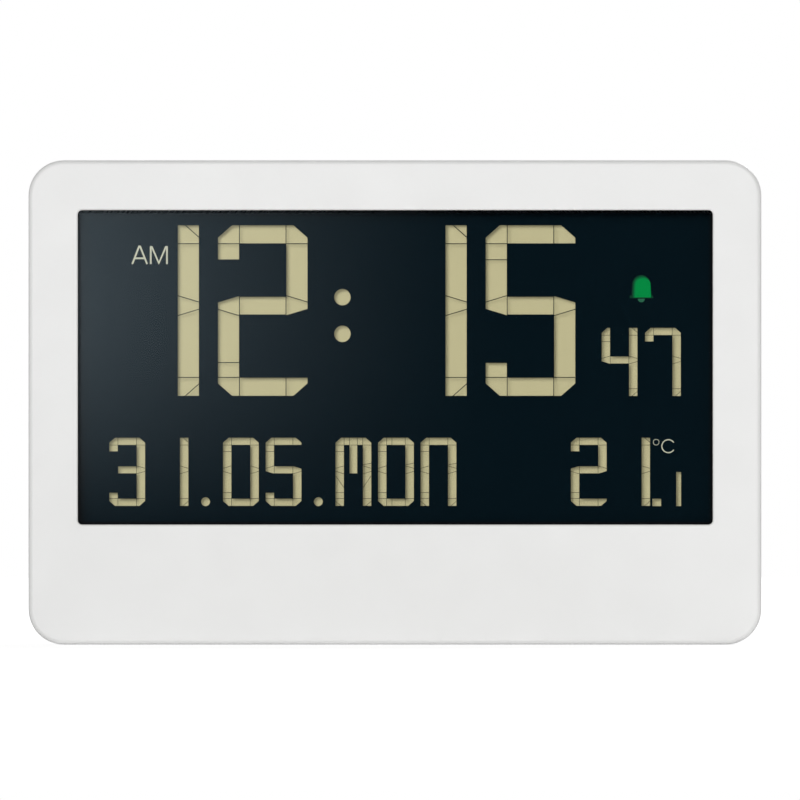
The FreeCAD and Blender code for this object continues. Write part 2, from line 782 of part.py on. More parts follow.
def bulk_capacitor():
    body = new_body("bulk_capacitor")
    plate(body, "can", board_back, board_back + D.can_tall,
          dots([(D.can_x, can_z)], D.can_radius))
    return body


def thermistor():
    body = new_body("thermistor")
    bead_front = board_back + D.thermistor_stand
    half = D.thermistor_thick / 2
    leg = D.leg_wide / 2
    sketch = new_sketch(body, "bead_sketch", "XY_Plane", thermistor_z - half)
    circle(sketch, D.thermistor_x, bead_front, D.thermistor_radius)
    feature(body, "PartDesign::Pad", "bead", sketch, D.thermistor_thick)

    def legs(sketch):
        for side in (-0.5, 0.5):
            x = D.thermistor_x + D.leg_pitch * side
            rectangle(sketch, x - leg, x + leg, thermistor_z - leg, thermistor_z + leg)
    plate(body, "legs", board_back, bead_front, legs)
    return body


# ---- rear cover ----

panel_low = D.case_tall - D.panel_down
panel_high = panel_low + D.panel_tall
panel_middle = panel_low + D.panel_tall / 2
panel_floor = back - D.panel_deep
panel_underside = back_inner - D.panel_back
keyboard_back = panel_underside - D.keyboard_gap
keyboard_front = keyboard_back - D.keyboard_thick
BUTTONS = ("set", "plus", "minus", "snooze")
button_places = [D.button_x + D.button_pitch * place for place in range(len(BUTTONS))]

bay_low = panel_low - D.bay_drop
bay_high = bay_low + D.bay_tall
bay_middle = bay_low + D.bay_tall / 2
bay_half = D.bay_long / 2
bay_floor_back = back_inner - D.bay_deep
shelf_front = back_inner - D.shelf_thick
door_axis_up = bay_low - D.door_axis_drop
door_axis_y = back - D.door_axis_in
door_top = bay_high + D.door_rise
rebate_half = D.door_wide / 2 + D.door_gap
rebate_low = door_axis_up - D.barrel_radius - D.door_gap
rebate_high = door_top + D.door_gap

hinge_up = bay_low - D.hinge_drop
hinge_y = back - D.hinge_in
stand_top = hinge_up + D.heel_tall
stand_back = back - D.stand_gap / 2
stand_front = stand_back - D.stand_thick
recess_back_floor = back - D.recess_deep
recess_top = stand_top + D.stand_gap * 2
recess_low = D.stand_tip_up - D.stand_gap
recess_half = D.stand_wide / 2 + D.stand_gap

keyholes = [-D.keyhole_x, D.keyhole_x]
keyhole_z = D.case_tall - D.keyhole_down
buzzer_x = D.buzzer_in - half_wide
vent_left = half_wide - D.vent_in


def stand_recess(body):
    wall = D.recess_wall
    plate(body, "recess_box", recess_back_floor - D.recess_floor, back_inner,
          box(-recess_half - wall - D.trunnion_long / 2,
              recess_half + wall + D.trunnion_long / 2,
              D.case_wall / 2, recess_top + wall))
    corner = D.stand_tip_round + D.stand_gap
    cut(body, "recess_tip", recess_back_floor, back,
        lambda sketch: rounded(sketch, -recess_half, recess_half, recess_low, recess_top,
                               corner))
    cut(body, "recess", recess_back_floor, back,
        box(-recess_half, recess_half, recess_low + corner, recess_top))
    cut(body, "finger_notch", recess_back_floor, back,
        box(-D.notch_wide / 2, D.notch_wide / 2, -D.stand_gap, recess_low + corner))
    hole = D.trunnion_radius + D.trunnion_gap
    reach = recess_half + D.trunnion_long
    bar_cut(body, "trunnion_holes", -reach, reach,
            lambda sketch: circle(sketch, hinge_y, hinge_up, hole))
    half = D.bump_wide / 2

    def bumps(sketch):
        for x in (-D.bump_x, D.bump_x):
            rectangle(sketch, x - half, x + half, D.bump_up, D.bump_up + D.bump_tall)
    plate(body, "rest_bumps", recess_back_floor, stand_front - D.bump_gap, bumps)


def battery_bay(body):
    wall = D.bay_wall
    plate(body, "bay_box", bay_floor_back - D.bay_floor, back_inner,
          box(-bay_half - wall, bay_half + wall, bay_low - wall, bay_high + wall))
    margin = D.shelf_margin
    plate(body, "shelf", shelf_front, back_inner,
          box(-rebate_half - margin, rebate_half + margin, rebate_low - margin / 2,
              rebate_high + margin / 2))
    cut(body, "rebate", back_inner, back,
        lambda sketch: rounded(sketch, -rebate_half, rebate_half, rebate_low, rebate_high,
                               D.door_corner))
    cut(body, "bay", bay_floor_back, back_inner,
        box(-bay_half, bay_half, bay_low, bay_high))
    gutter_front = door_axis_y - D.barrel_radius - D.door_gap
    cut(body, "hinge_gutter", gutter_front, back,
        box(-rebate_half, rebate_half, rebate_low, door_axis_up + D.barrel_radius
            + D.door_gap))
    hole = D.door_pin_radius + D.door_pin_gap
    reach = rebate_half + D.door_pin_long
    bar_cut(body, "door_pin_holes", -reach, reach,
            lambda sketch: circle(sketch, door_axis_y, door_axis_up, hole))
    plate(body, "divider", bay_floor_back, bay_floor_back + D.divider_tall,
          box(-bay_half + D.leaf_wide, bay_half - D.leaf_wide,
              bay_middle - D.divider_thick / 2, bay_middle + D.divider_thick / 2))
    cut(body, "tail_slots", bay_floor_back - D.bay_floor, bay_floor_back, tail_slots)
    cut(body, "door_notch", back - D.finger_deep, back,
        box(-D.finger_wide / 2, D.finger_wide / 2, rebate_high, rebate_high + D.finger_tall))


def tail_slots(sketch):
    """Slots in the bay's floor for the contacts' tails."""
    gap = D.tail_gap
    for z in (bay_middle - D.cell_pitch / 2, bay_middle + D.cell_pitch / 2):
        rectangle(sketch, -bay_half, D.contact_thick - bay_half + gap,
                  z - D.tail_wide / 2 - gap, z + D.tail_wide / 2 + gap)


def button_boxes(places, margin):
    """A rectangle round each button of the row, this much larger on every side."""
    across = D.button_long / 2 + margin
    upright = D.button_wide / 2 + margin

    def draw(sketch):
        for x in places:
            rectangle(sketch, x - across, x + across, panel_middle - upright,
                      panel_middle + upright)
    return draw


def control_panel(body):
    margin = D.panel_margin
    half = D.panel_wide / 2
    plate(body, "panel_back", panel_underside, back_inner,
          box(-half - margin, half + margin, panel_low - margin, panel_high + margin))
    cut(body, "panel", panel_floor, back, box(-half, half, panel_low, panel_high))
    cut(body, "button_holes", panel_underside, panel_floor,
        button_boxes(button_places, D.button_gap))
    slot_half = (D.slider_long + D.slider_travel) / 2 + D.slider_gap
    side = D.slider_wide / 2 + D.slider_gap
    cut(body, "slider_slot", panel_underside, panel_floor,
        box(D.slider_x - slot_half, D.slider_x + slot_half, panel_middle - side,
            panel_middle + side))
    cut(body, "reset_hole", panel_underside, panel_floor,
        dots([(D.reset_x, panel_middle)], D.reset_radius))
    low = panel_middle - D.hook_wide / 2
    high = panel_middle + D.hook_wide / 2
    edge = D.keyboard_wide / 2 + D.hook_gap

    def stops(sketch):
        for side in (-1, 1):
            x = D.keyboard_stop_x * side
            rectangle(sketch, x - D.rib_thick / 2, x + D.rib_thick / 2, low, high)

    def hooks(overhang):
        def draw(sketch):
            rectangle(sketch, -edge - D.hook_thick, overhang - edge, low, high)
            rectangle(sketch, edge - overhang, edge + D.hook_thick, low, high)
        return draw
    plate(body, "keyboard_stops", keyboard_back, panel_underside, stops)
    plate(body, "keyboard_hooks", keyboard_front - D.hook_lip, back_inner,
          hooks(as_size(0)))
    plate(body, "keyboard_hook_lips", keyboard_front - D.hook_lip, keyboard_front,
          hooks(D.hook_gap + D.hook_reach))


def wall_keyholes(body):
    """Two boxed keyholes: a round head with a narrower slot above it."""
    pocket_front = back_inner - D.keyhole_deep
    slot_top = keyhole_z + D.keyhole_rise
    around = D.keyhole_radius + D.keyhole_wall

    def boxes(reach):
        def draw(sketch):
            for x in keyholes:
                rectangle(sketch, x - reach, x + reach, keyhole_z - reach, slot_top + reach)
        return draw

    def ends(sketch):
        for x in keyholes:
            circle(sketch, x, keyhole_z, D.keyhole_radius)
            circle(sketch, x, slot_top, D.keyhole_neck)

    def necks(sketch):
        for x in keyholes:
            rectangle(sketch, x - D.keyhole_neck, x + D.keyhole_neck, keyhole_z, slot_top)

    plate(body, "keyhole_boxes", pocket_front - D.keyhole_wall, back_inner, boxes(around))
    cut(body, "keyhole_pockets", pocket_front, back_inner, boxes(D.keyhole_radius))
    cut(body, "keyhole_ends", back_inner, back, ends)
    cut(body, "keyhole_necks", back_inner, back, necks)


def case_screw_seats(body):
    plate(body, "screw_blocks", seam, back_inner, squares(D.cover_boss_reach))
    cut(body, "screw_sinks", back - D.sink_deep, back, dots(case_bosses, D.sink_radius))
    cut(body, "screw_holes", seam, back - D.sink_deep, dots(case_bosses, D.screw_hole))


def sound_grille(body):
    """A square seat for the buzzer, and slots whose ends lie on a circle."""
    def square(reach):
        return box(buzzer_x - reach, buzzer_x + reach, D.buzzer_z - reach,
                   D.buzzer_z + reach)

    def slots(sketch):
        count = round(D.sound_count.value)
        for place in range(count):
            rise = D.sound_pitch * (place - (count - 1) / 2)
            half = math.sqrt(D.sound_radius.value ** 2 - rise.value ** 2)
            low = D.buzzer_z + rise - D.sound_slot / 2
            rectangle(sketch, buzzer_x - half, buzzer_x + half, low, low + D.sound_slot)
    plate(body, "buzzer_seat", back_inner - D.buzzer_seat_tall, back_inner,
          square(D.buzzer_seat_outer))
    cut(body, "buzzer_cavity", back_inner - D.buzzer_seat_tall, back_inner,
        square(D.buzzer_seat_inner))
    cut(body, "sound_slots", back_inner, back, slots)


def vent_slots(body):
    def draw(sketch):
        for place in range(round(D.vent_count.value)):
            x = vent_left + D.vent_pitch * place
            rectangle(sketch, x, x + D.vent_wide, D.vent_low, D.vent_low + D.vent_long)
    cut(body, "vents", back_inner, back, draw)


def rear_cover():
    body = new_body("rear_cover")
    plate(body, "shell", seam, back, case_outline(as_size(0)))
    chamfer(body, "back_edge", D.back_chamfer, at_depth(back))
    chamfer(body, "seam_edge", D.seam_chamfer, at_depth(seam))
    lip_outer = D.case_wall + D.lip_gap
    lip_inner = lip_outer + D.lip_thick
    plate(body, "lip", seam - D.lip_tall, seam, case_outline(lip_outer))
    cut(body, "hollow", seam - D.lip_tall, back_inner, case_outline(lip_inner))
    stand_recess(body)
    battery_bay(body)
    control_panel(body)
    wall_keyholes(body)
    case_screw_seats(body)
    sound_grille(body)
    vent_slots(body)
    return body


def case_screws():
    body = new_body("case_screws")
    seat = back - D.sink_deep
    top = seat + D.screw_head_tall
    plate(body, "shanks", seat - D.screw_long, seat, dots(case_bosses, D.screw_radius))
    plate(body, "heads", seat, top, dots(case_bosses, D.screw_head))
    long_half = D.cross_long / 2
    wide_half = D.cross_wide / 2
    for name, across, upright in (("slot", long_half, wide_half),
                                  ("cross", wide_half, long_half)):
        def draw(sketch):
            for x, z in case_bosses:
                rectangle(sketch, x - across, x + across, z - upright, z + upright)
        cut(body, name, top - D.cross_deep, top, draw)
    return body


# ---- buzzer ----

def buzzer_disc():
    body = new_body("buzzer_disc")
    seat = back_inner - D.buzzer_seat_tall
    plate(body, "disc", seat - D.buzzer_disc_thick, seat,
          dots([(buzzer_x, D.buzzer_z)], D.buzzer_disc_radius))
    return body


def buzzer_ceramic():
    body = new_body("buzzer_ceramic")
    seat = back_inner - D.buzzer_seat_tall - D.buzzer_disc_thick
    plate(body, "disc", seat - D.ceramic_thick, seat,
          dots([(buzzer_x, D.buzzer_z)], D.ceramic_radius))
    return body


def tube(points, radius):
    """A round lead through the points, with mitred bends."""
    corners = [FreeCAD.Vector(*(as_size(number).value for number in point))
               for point in points]
    path = Part.makePolygon(corners)
    start = Part.makeCircle(radius.value, corners[0], corners[1] - corners[0])
    return path.makePipeShell([Part.Wire([start])], True, False, 1)


def leads(label, routes, radius):
    item = doc.addObject("Part::Feature", label)
    item.Label = label
    shapes = [tube(points, radius) for points in routes]
    item.Shape = shapes[0] if len(shapes) == 1 else Part.makeCompound(shapes)
    return item


def buzzer_leads():
    """One lead from the brass disc's rim and one from the ceramic."""
    radius = D.buzzer_lead_radius
    disc_y = back_inner - D.buzzer_seat_tall - D.buzzer_disc_thick
    ceramic_y = disc_y - D.ceramic_thick
    rim = (D.ceramic_radius + D.buzzer_disc_radius) / 2
    routes = []
    for dx, start in ((rim, disc_y), (as_size(0), ceramic_y)):
        x = buzzer_x + dx
        routes.append([(x, start, D.buzzer_z), (x, seam, D.buzzer_z),
                       (x, board_back + radius, D.buzzer_z + D.lead_drop)])
    return leads("buzzer_leads", routes, radius)


# ---- battery cells and contacts ----

cell_y = bay_floor_back + D.cell_seat + D.cell_radius
cell_low = bay_middle - D.cell_pitch / 2
cell_high = bay_middle + D.cell_pitch / 2
contact_face = bay_half - D.contact_thick
nub_tip = contact_face - D.dimple_tall
cell_end = D.cell_long - nub_tip


def cell(label, z, nub_side):
    """A cell lying along X; nub_side is 1 with its nub to the right, -1 to the left."""
    body = new_body(label)
    ends = [nub_tip - D.cell_long, nub_tip - D.nub_long, nub_tip]
    if nub_side < 0:
        ends = [-end for end in reversed(ends)]
    can = (ends[0], ends[1]) if nub_side > 0 else (ends[1], ends[2])
    nub = (ends[1], ends[2]) if nub_side > 0 else (ends[0], ends[1])
    bar(body, "can", *can, lambda sketch: circle(sketch, cell_y, z, D.cell_radius))
    bar(body, "nub", *nub, lambda sketch: circle(sketch, cell_y, z, D.nub_radius))
    return body


def contact_base(body, side, low, high):
    """The sheet on the bay's end wall; side is 1 at the right end, -1 at the left."""
    outer = bay_half * side
    inner = contact_face * side
    left, right = (inner, outer) if side > 0 else (outer, inner)
    plate(body, "base", bay_floor_back, bay_floor_back + D.contact_tall,
          box(left, right, low, high))


def contact_tail(body, z):
    tail_front = bay_floor_back - D.bay_floor - D.tail_long / 2
    plate(body, "tail", tail_front, bay_floor_back,
          box(-bay_half, -contact_face, z - D.tail_wide / 2, z + D.tail_wide / 2))


def contact_dimple(body, side, z):
    left, right = (nub_tip, contact_face) if side > 0 else (-contact_face, -nub_tip)
    bar(body, "dimple", left, right,
        lambda sketch: circle(sketch, cell_y, z, D.dimple_radius))


def contact_leaf(body, side, z):
    """A bent leaf from the top of the base to the cell's flat end and back."""
    thick = D.contact_thick
    bend = thick * 2
    top = bay_floor_back + D.contact_tall
    crest = cell_end
    foot = contact_face - bend
    points = [(contact_face, top), (contact_face, top - bend),
              (crest + thick, cell_y), (foot, bay_floor_back + bend),
              (foot, bay_floor_back + thick), (crest, cell_y)]
    if side < 0:
        points = [(-x, y) for x, y in reversed(points)]
    layer(body, "leaf", z - D.leaf_wide / 2, z + D.leaf_wide / 2,
          lambda sketch: polygon(sketch, points))


def link_contact():
    """Joins the upper cell's nub to the lower cell's flat end."""
    body = new_body("link_contact")
    half = D.contact_wide / 2
    contact_base(body, 1, cell_low - half, cell_high + half)
    contact_dimple(body, 1, cell_high)
    contact_leaf(body, 1, cell_low)
    return body


def positive_contact():
    body = new_body("positive_contact")
    half = D.contact_wide / 2
    contact_base(body, -1, cell_low - half, cell_low + half)
    contact_dimple(body, -1, cell_low)
    contact_tail(body, cell_low)
    return body


def negative_contact():
    body = new_body("negative_contact")
    half = D.contact_wide / 2
    contact_base(body, -1, cell_high - half, cell_high + half)
    contact_leaf(body, -1, cell_high)
    contact_tail(body, cell_high)
    return body


def battery_lead(label, z):
    """From the contact's tail to the board."""
    level = board_back + D.lead_radius
    tail_y = bay_floor_back - D.bay_floor - D.lead_radius - D.tail_gap
    turn_x = -bay_half - D.lead_reach
    route = [(-bay_half, tail_y, z), (turn_x, tail_y, z), (turn_x, level, z - D.lead_drop)]
    return leads(label, [route], D.lead_radius)


# ---- key board, switches and ribbon ----

def button_pcb():
    body = new_body("button_pcb")
    half = D.keyboard_wide / 2
    plate(body, "board", keyboard_front, keyboard_back,
          box(-half, half, panel_middle - D.keyboard_tall / 2,
              panel_middle + D.keyboard_tall / 2))
    return body


def tact_switches():
    body = new_body("tact_switches")
    top = keyboard_back + D.switch_tall

    def boxes(half):
        def draw(sketch):
            for x in button_places:
                rectangle(sketch, x - half, x + half, panel_middle - half,
                          panel_middle + half)
        return draw
    plate(body, "bodies", keyboard_back, top, boxes(D.switch_side / 2))
    cut(body, "stem_holes", top - D.stem_deep - D.button_travel - D.stem_gap, top,
        boxes(D.stem_side / 2 + D.stem_gap))
    return body


def slide_switch():
    body = new_body("slide_switch")
    top = keyboard_back + D.switch_tall
    half = D.slider_body_long / 2
    side = D.slider_body_wide / 2
    plate(body, "housing", keyboard_back, top,
          box(D.slider_x - half, D.slider_x + half, panel_middle - side, panel_middle + side))
    slot = (D.slider_neck + D.slider_travel) / 2 + D.slider_gap
    neck = D.slider_neck / 2 + D.slider_gap
    cut(body, "slot", top - D.slot_deep, top,
        box(D.slider_x - slot, D.slider_x + slot, panel_middle - neck, panel_middle + neck))
    return body


def ribbon_cable():
    body = new_body("ribbon_cable")
    thick = D.ribbon_thick
    low = panel_low - D.ribbon_drop
    start = panel_middle - D.keyboard_tall / 2 + D.ribbon_grip
    end = low - D.ribbon_tail
    points = [(keyboard_front, start), (keyboard_front, low), (board_back + thick, low),
              (board_back + thick, end), (board_back, end), (board_back, low + thick),
              (keyboard_front - thick, low + thick), (keyboard_front - thick, start)]
    bar(body, "ribbon", -D.ribbon_wide / 2, D.ribbon_wide / 2,
        lambda sketch: polygon(sketch, points))
    return body


# ---- buttons and slider ----

def button(label, x):
    body = new_body(label)
    underside = panel_underside - D.flange_thick
    top = panel_floor + D.button_rise
    plate(body, "cap", underside, top, button_boxes([x], as_size(0)))
    chamfer(body, "cap_edge", D.button_chamfer, at_depth(top))
    plate(body, "flange", underside, panel_underside, button_boxes([x], D.flange_reach))
    return body


def switch_stem(label, x):
    body = new_body(label)
    top = keyboard_back + D.switch_tall
    half = D.stem_side / 2
    plate(body, "stem", top - D.stem_deep, panel_underside - D.flange_thick,
          box(x - half, x + half, panel_middle - half, panel_middle + half))
    return body


def alarm_slider():
    body = new_body("alarm_slider")
    half = D.slider_long / 2
    side = D.slider_wide / 2
    left = D.slider_x - D.slider_travel / 2
    under = panel_underside - D.slider_gap
    plate(body, "neck", keyboard_back + D.switch_tall - D.neck_deep, under,
          box(left - D.slider_neck / 2, left + D.slider_neck / 2,
              panel_middle - D.slider_neck / 2, panel_middle + D.slider_neck / 2))
    plate(body, "knob", under, panel_floor + D.button_rise,
          box(left - half, left + half, panel_middle - side, panel_middle + side))
    plate(body, "flange", under - D.flange_thick, under,
          box(left - half - D.slider_flange, left + half + D.slider_flange,
              panel_middle - side - D.slider_flange, panel_middle + side + D.slider_flange))
    return body


# ---- stand and battery door ----

def stand():
    body = new_body("stand")
    half = D.stand_wide / 2
    low = D.stand_tip_up
    plate(body, "flap", stand_front, stand_back,
          box(-half, half, low, stand_top))
    fillet(body, "tip_corners", D.stand_tip_round,
           lambda point: abs(point.z - low.value) < NEAR
           and abs(abs(point.x) - half.value) < NEAR)
    margin = D.hollow_margin
    hollow_high = hinge_up - margin
    hollow_low = low + D.pad_tall + margin
    hollow_half = half - margin

    def hollows(sketch):
        for side in (-1, 0, 1):
            third = hollow_half * 2 / 3
            x = third * side
            rectangle(sketch, x - third / 2 + D.hollow_rib / 2,
                      x + third / 2 - D.hollow_rib / 2, hollow_low, hollow_high)
    cut(body, "hollows", stand_front, stand_front + D.hollow_deep, hollows)
    cut(body, "pad_seats", stand_front, stand_front + D.pad_thick, pad_boxes)
    cut(body, "tip_notch", stand_front, stand_back,
        box(-D.tip_notch_wide / 2, D.tip_notch_wide / 2, low, low + D.tip_notch_tall))
    bar(body, "trunnions", -half - D.trunnion_long, half + D.trunnion_long,
        lambda sketch: circle(sketch, hinge_y, hinge_up, D.trunnion_radius))

    def grips(sketch):
        for place in range(round(D.grip_count.value)):
            z = low + D.tip_notch_tall + D.grip_pitch * (place + 1)
            rectangle(sketch, -D.grip_wide / 2, D.grip_wide / 2, z, z + D.grip_thick)
    cut(body, "grips", stand_back - D.grip_tall, stand_back, grips)
    return body


def pad_boxes(sketch):
    """The two rubber feet at the stand's tip."""
    low = D.stand_tip_up
    for side in (-1, 1):
        x = D.pad_x * side
        rectangle(sketch, x - D.pad_wide / 2, x + D.pad_wide / 2, low, low + D.pad_tall)


def stand_foot_pads():
    body = new_body("stand_foot_pads")
    plate(body, "pads", stand_front, stand_front + D.pad_thick, pad_boxes)
    return body


def battery_door():
    body = new_body("battery_door")
    half = D.door_wide / 2
    outer = back - D.door_sink
    inner = outer - D.door_thick
    plate(body, "plate", inner, outer, box(-half, half, door_axis_up, door_top))
    fillet(body, "corners", D.door_corner,
           lambda point: abs(point.z - door_top.value) < NEAR
           and abs(abs(point.x) - half.value) < NEAR)
    bar(body, "barrel", -half, half,
        lambda sketch: circle(sketch, door_axis_y, door_axis_up, D.barrel_radius))
    reach = half + D.door_gap + D.door_pin_long - D.door_pin_gap
    bar(body, "pins", -reach, reach,
        lambda sketch: circle(sketch, door_axis_y, door_axis_up, D.door_pin_radius))
    slot = D.latch_slot
    latch = D.latch_wide / 2
    for name, side in (("latch_slot_left", -1), ("latch_slot_right", 1)):
        x = latch * side
        cut(body, name, inner, outer,
            box(x - slot / 2, x + slot / 2, door_top - D.latch_tall, door_top))
    plate(body, "latch_bump", inner, inner + D.latch_bump_tall,
          box(-latch + slot, latch - slot, door_top - D.latch_bump_tall,
              door_top + D.latch_bump))

    def grips(sketch):
        for place in range(round(D.door_grip_count.value)):
            z = door_top - D.door_grip_pitch * (place + 1)
            rectangle(sketch, -latch + slot, latch - slot, z, z + D.door_grip_thick)
    cut(body, "grips", outer - D.door_grip_tall, outer, grips)
    return body


# ---- the whole clock ----

def build():
    pieces = [front_housing(), lens_tape(), display_lens(), lcd_gasket(),
              glass_sheet("lcd_front_glass", gasket_back, front_glass_back,
                          D.front_glass_tall),
              lcd_segment_mask(),
              glass_sheet("lcd_rear_glass", rear_glass_front, rear_glass_back,
                          D.rear_glass_tall),
              bell_filter(), lcd_reflector(), lcd_frame(), zebra_strips(),
              main_pcb(), controller_chip(), quartz_crystal(),
              chip_capacitors(), bulk_capacitor(), thermistor(),
              rear_cover(), case_screws(), buzzer_disc(), buzzer_ceramic(), buzzer_leads(),
              button_pcb(), tact_switches(), slide_switch(), ribbon_cable(),
              cell("battery_upper", cell_high, 1), cell("battery_lower", cell_low, -1),
              link_contact(), positive_contact(), negative_contact(),
              battery_lead("red_lead", cell_low), battery_lead("black_lead", cell_high)]
    for name, x in zip(BUTTONS, button_places):
        pieces.append(button(f"{name}_button", x))
        pieces.append(switch_stem(f"{name}_switch_stem", x))
    pieces += [alarm_slider(), stand(), stand_foot_pads(), battery_door()]
    return pieces


def export(pieces):
    """Checks every object and shape, and writes one STEP file for each piece."""
    for item in pieces:
        if hasattr(item, "Tip"):
            item.Tip.Refine = True
    doc.recompute()
    for item in doc.Objects:
        if "Invalid" in item.State or "Error" in item.State:
            raise RuntimeError(f"{item.Label} failed: {item.State}")
    os.makedirs("parts", exist_ok=True)
    for item in pieces:
        if item.Shape.isNull() or not item.Shape.isValid():
            raise RuntimeError(f"{item.Label} has no valid shape")
        item.Shape.exportStep(f"parts/{item.Label}.step")


export(build())
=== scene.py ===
import json
import math

import bmesh
import bpy
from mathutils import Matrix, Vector

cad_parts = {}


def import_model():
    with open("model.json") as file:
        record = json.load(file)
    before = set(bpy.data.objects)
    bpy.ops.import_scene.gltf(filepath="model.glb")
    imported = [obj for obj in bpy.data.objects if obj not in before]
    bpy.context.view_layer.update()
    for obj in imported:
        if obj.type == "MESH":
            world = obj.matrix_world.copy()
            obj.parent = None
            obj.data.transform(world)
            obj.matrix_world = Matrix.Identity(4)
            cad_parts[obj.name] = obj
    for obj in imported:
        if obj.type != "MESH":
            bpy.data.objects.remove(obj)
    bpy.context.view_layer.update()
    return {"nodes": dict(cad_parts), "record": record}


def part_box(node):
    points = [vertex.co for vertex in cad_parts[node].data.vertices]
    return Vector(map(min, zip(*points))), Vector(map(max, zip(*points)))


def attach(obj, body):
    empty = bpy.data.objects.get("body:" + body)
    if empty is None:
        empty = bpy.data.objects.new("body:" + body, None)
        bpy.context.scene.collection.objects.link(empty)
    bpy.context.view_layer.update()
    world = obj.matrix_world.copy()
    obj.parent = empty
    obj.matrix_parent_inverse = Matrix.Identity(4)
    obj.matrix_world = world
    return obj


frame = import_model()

# Looks of the day clock. Lengths are metres; MM turns millimetres into them.
# +X is right seen from the front, +Y points to the back, +Z up, the table is z = 0.

MM = 0.001
NODES = frame["nodes"]
FACE_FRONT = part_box("front_housing")[0].y
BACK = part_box("rear_cover")[1].y
MASK_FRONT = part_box("lcd_segment_mask")[0].y
MASK_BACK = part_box("lcd_segment_mask")[1].y
BUTTON_NAMES = ("set", "plus", "minus", "snooze")


def srgb(red, green, blue):
    """A colour given as it is seen on a screen, 0 to 255, in the linear numbers that shaders
    use. The numbers inside are the sRGB standard's own."""
    def linear(level):
        share = level / 255
        return share / 12.92 if share <= 0.04045 else ((share + 0.055) / 1.055) ** 2.4
    return linear(red), linear(green), linear(blue)


# ---------------------------------------------------------------- shader and geometry nodes

# The sockets of a Mix node that mixes colours, by their places in its lists.
MIX_SHARE, MIX_FIRST, MIX_SECOND, MIX_RESULT = 0, 6, 7, 2


def add_node(tree, kind, sockets=None, **settings):
    """A node with its settings made, and its sockets set to values or joined to others."""
    made = tree.nodes.new(kind)
    for name, value in settings.items():
        setattr(made, name, value)
    for name, value in (sockets or {}).items():
        if isinstance(value, bpy.types.NodeSocket):
            tree.links.new(value, made.inputs[name])
        else:
            made.inputs[name].default_value = value
    return made


def maths(tree, operation, first, second=0):
    """The result of an operation on two values, each a socket or a number."""
    return add_node(tree, "ShaderNodeMath", {0: first, 1: second}, operation=operation).outputs[0]


def mixed(tree, share, first, second):
    """A mix of two colours by a share, which is a socket."""
    made = add_node(tree, "ShaderNodeMix", {
        MIX_SHARE: share, MIX_FIRST: (*first, 1), MIX_SECOND: (*second, 1)}, data_type="RGBA")
    return made.outputs[MIX_RESULT]


# ---------------------------------------------------------------- materials

class Paint:
    """A procedural material: one Principled shader and the textures that feed it."""

    def __init__(self, name, colour, roughness, **sockets):
        self.material = bpy.data.materials.new(name)
        self.material.use_nodes = True
        self.tree = self.material.node_tree
        self.shader = self.tree.nodes["Principled BSDF"]
        self.output = self.tree.nodes["Material Output"]
        self.place = self.node("ShaderNodeTexCoord").outputs["Object"]
        self.colour = colour
        self.roughness = roughness
        self.shader.inputs["Base Color"].default_value = (*colour, 1)
        self.shader.inputs["Roughness"].default_value = roughness
        for socket, value in sockets.items():
            self.shader.inputs[socket.replace("_", " ")].default_value = value

    def node(self, kind, sockets=None, **settings):
        return add_node(self.tree, kind, sockets, **settings)

    def feed(self, socket, value):
        self.tree.links.new(value, self.shader.inputs[socket])

    def noise(self, size, detail, stretch=(1, 1, 1)):
        """A noise whose grains are about that size, 0 to 1."""
        place = self.node("ShaderNodeMapping", {"Vector": self.place, "Scale": stretch})
        made = self.node("ShaderNodeTexNoise", {
            "Vector": place.outputs["Vector"], "Scale": 1 / size, "Detail": detail})
        return made.outputs["Fac"]

    def between(self, value, low, high, source=(0.0, 1.0)):
        """A value spread from its source range to low and high."""
        made = self.node("ShaderNodeMapRange", {
            "Value": value, "From Min": source[0], "From Max": source[1],
            "To Min": low, "To Max": high})
        return made.outputs["Result"]

    def along(self, axis, start, stop):
        """0 at the start and 1 at the stop, both places in metres on that axis."""
        place = self.node("ShaderNodeSeparateXYZ", {"Vector": self.place}).outputs[axis]
        return self.between(place, low=0.0, high=1.0, source=(start, stop))

    def stops(self, value, colours):
        """Bands of colour: pairs of a place from 0 to 1 and the colour that starts there."""
        made = self.node("ShaderNodeValToRGB", {"Fac": value})
        made.color_ramp.interpolation = "CONSTANT"
        ends = made.color_ramp.elements
        while len(ends) < len(colours):
            ends.new(position=0.5)
        for end, (place, colour) in zip(ends, colours):
            end.position = place
            end.color = (*colour, 1)
        return made.outputs["Color"]

    def bands(self, value, *bands):
        """Bands along a value from 0 to 1: where each starts, its colour, and its share
        of metal."""
        colours = [(place, colour) for place, colour, metal in bands]
        metals = [(place, (metal, metal, metal)) for place, colour, metal in bands]
        self.feed("Base Color", self.stops(value, colours))
        self.feed("Metallic", self.stops(value, metals))

    def relief(self, height, depth):
        """A relief of that depth, from a height of 0 to 1."""
        bump = self.node("ShaderNodeBump", {"Height": height, "Distance": depth, "Strength": 1.0})
        self.feed("Normal", bump.outputs["Normal"])

    def grain(self, size, depth, stretch=(1, 1, 1), detail=2.0):
        """A fine relief of grains of that size and depth."""
        self.relief(self.noise(size, detail, stretch), depth)

    def mottle(self, size, amount, detail=3.0):
        """Small differences of brightness over the surface."""
        darker = [level * (1 - amount) for level in self.colour]
        lighter = [min(1.0, level * (1 + amount)) for level in self.colour]
        self.feed("Base Color", mixed(self.tree, self.noise(size, detail), darker, lighter))

    def worn(self, size, amount):
        """Gloss that differs a little over the surface."""
        low, high = self.roughness * (1 - amount), min(1.0, self.roughness * (1 + amount))
        self.feed("Roughness", self.between(self.noise(size, detail=4.0), low, high))


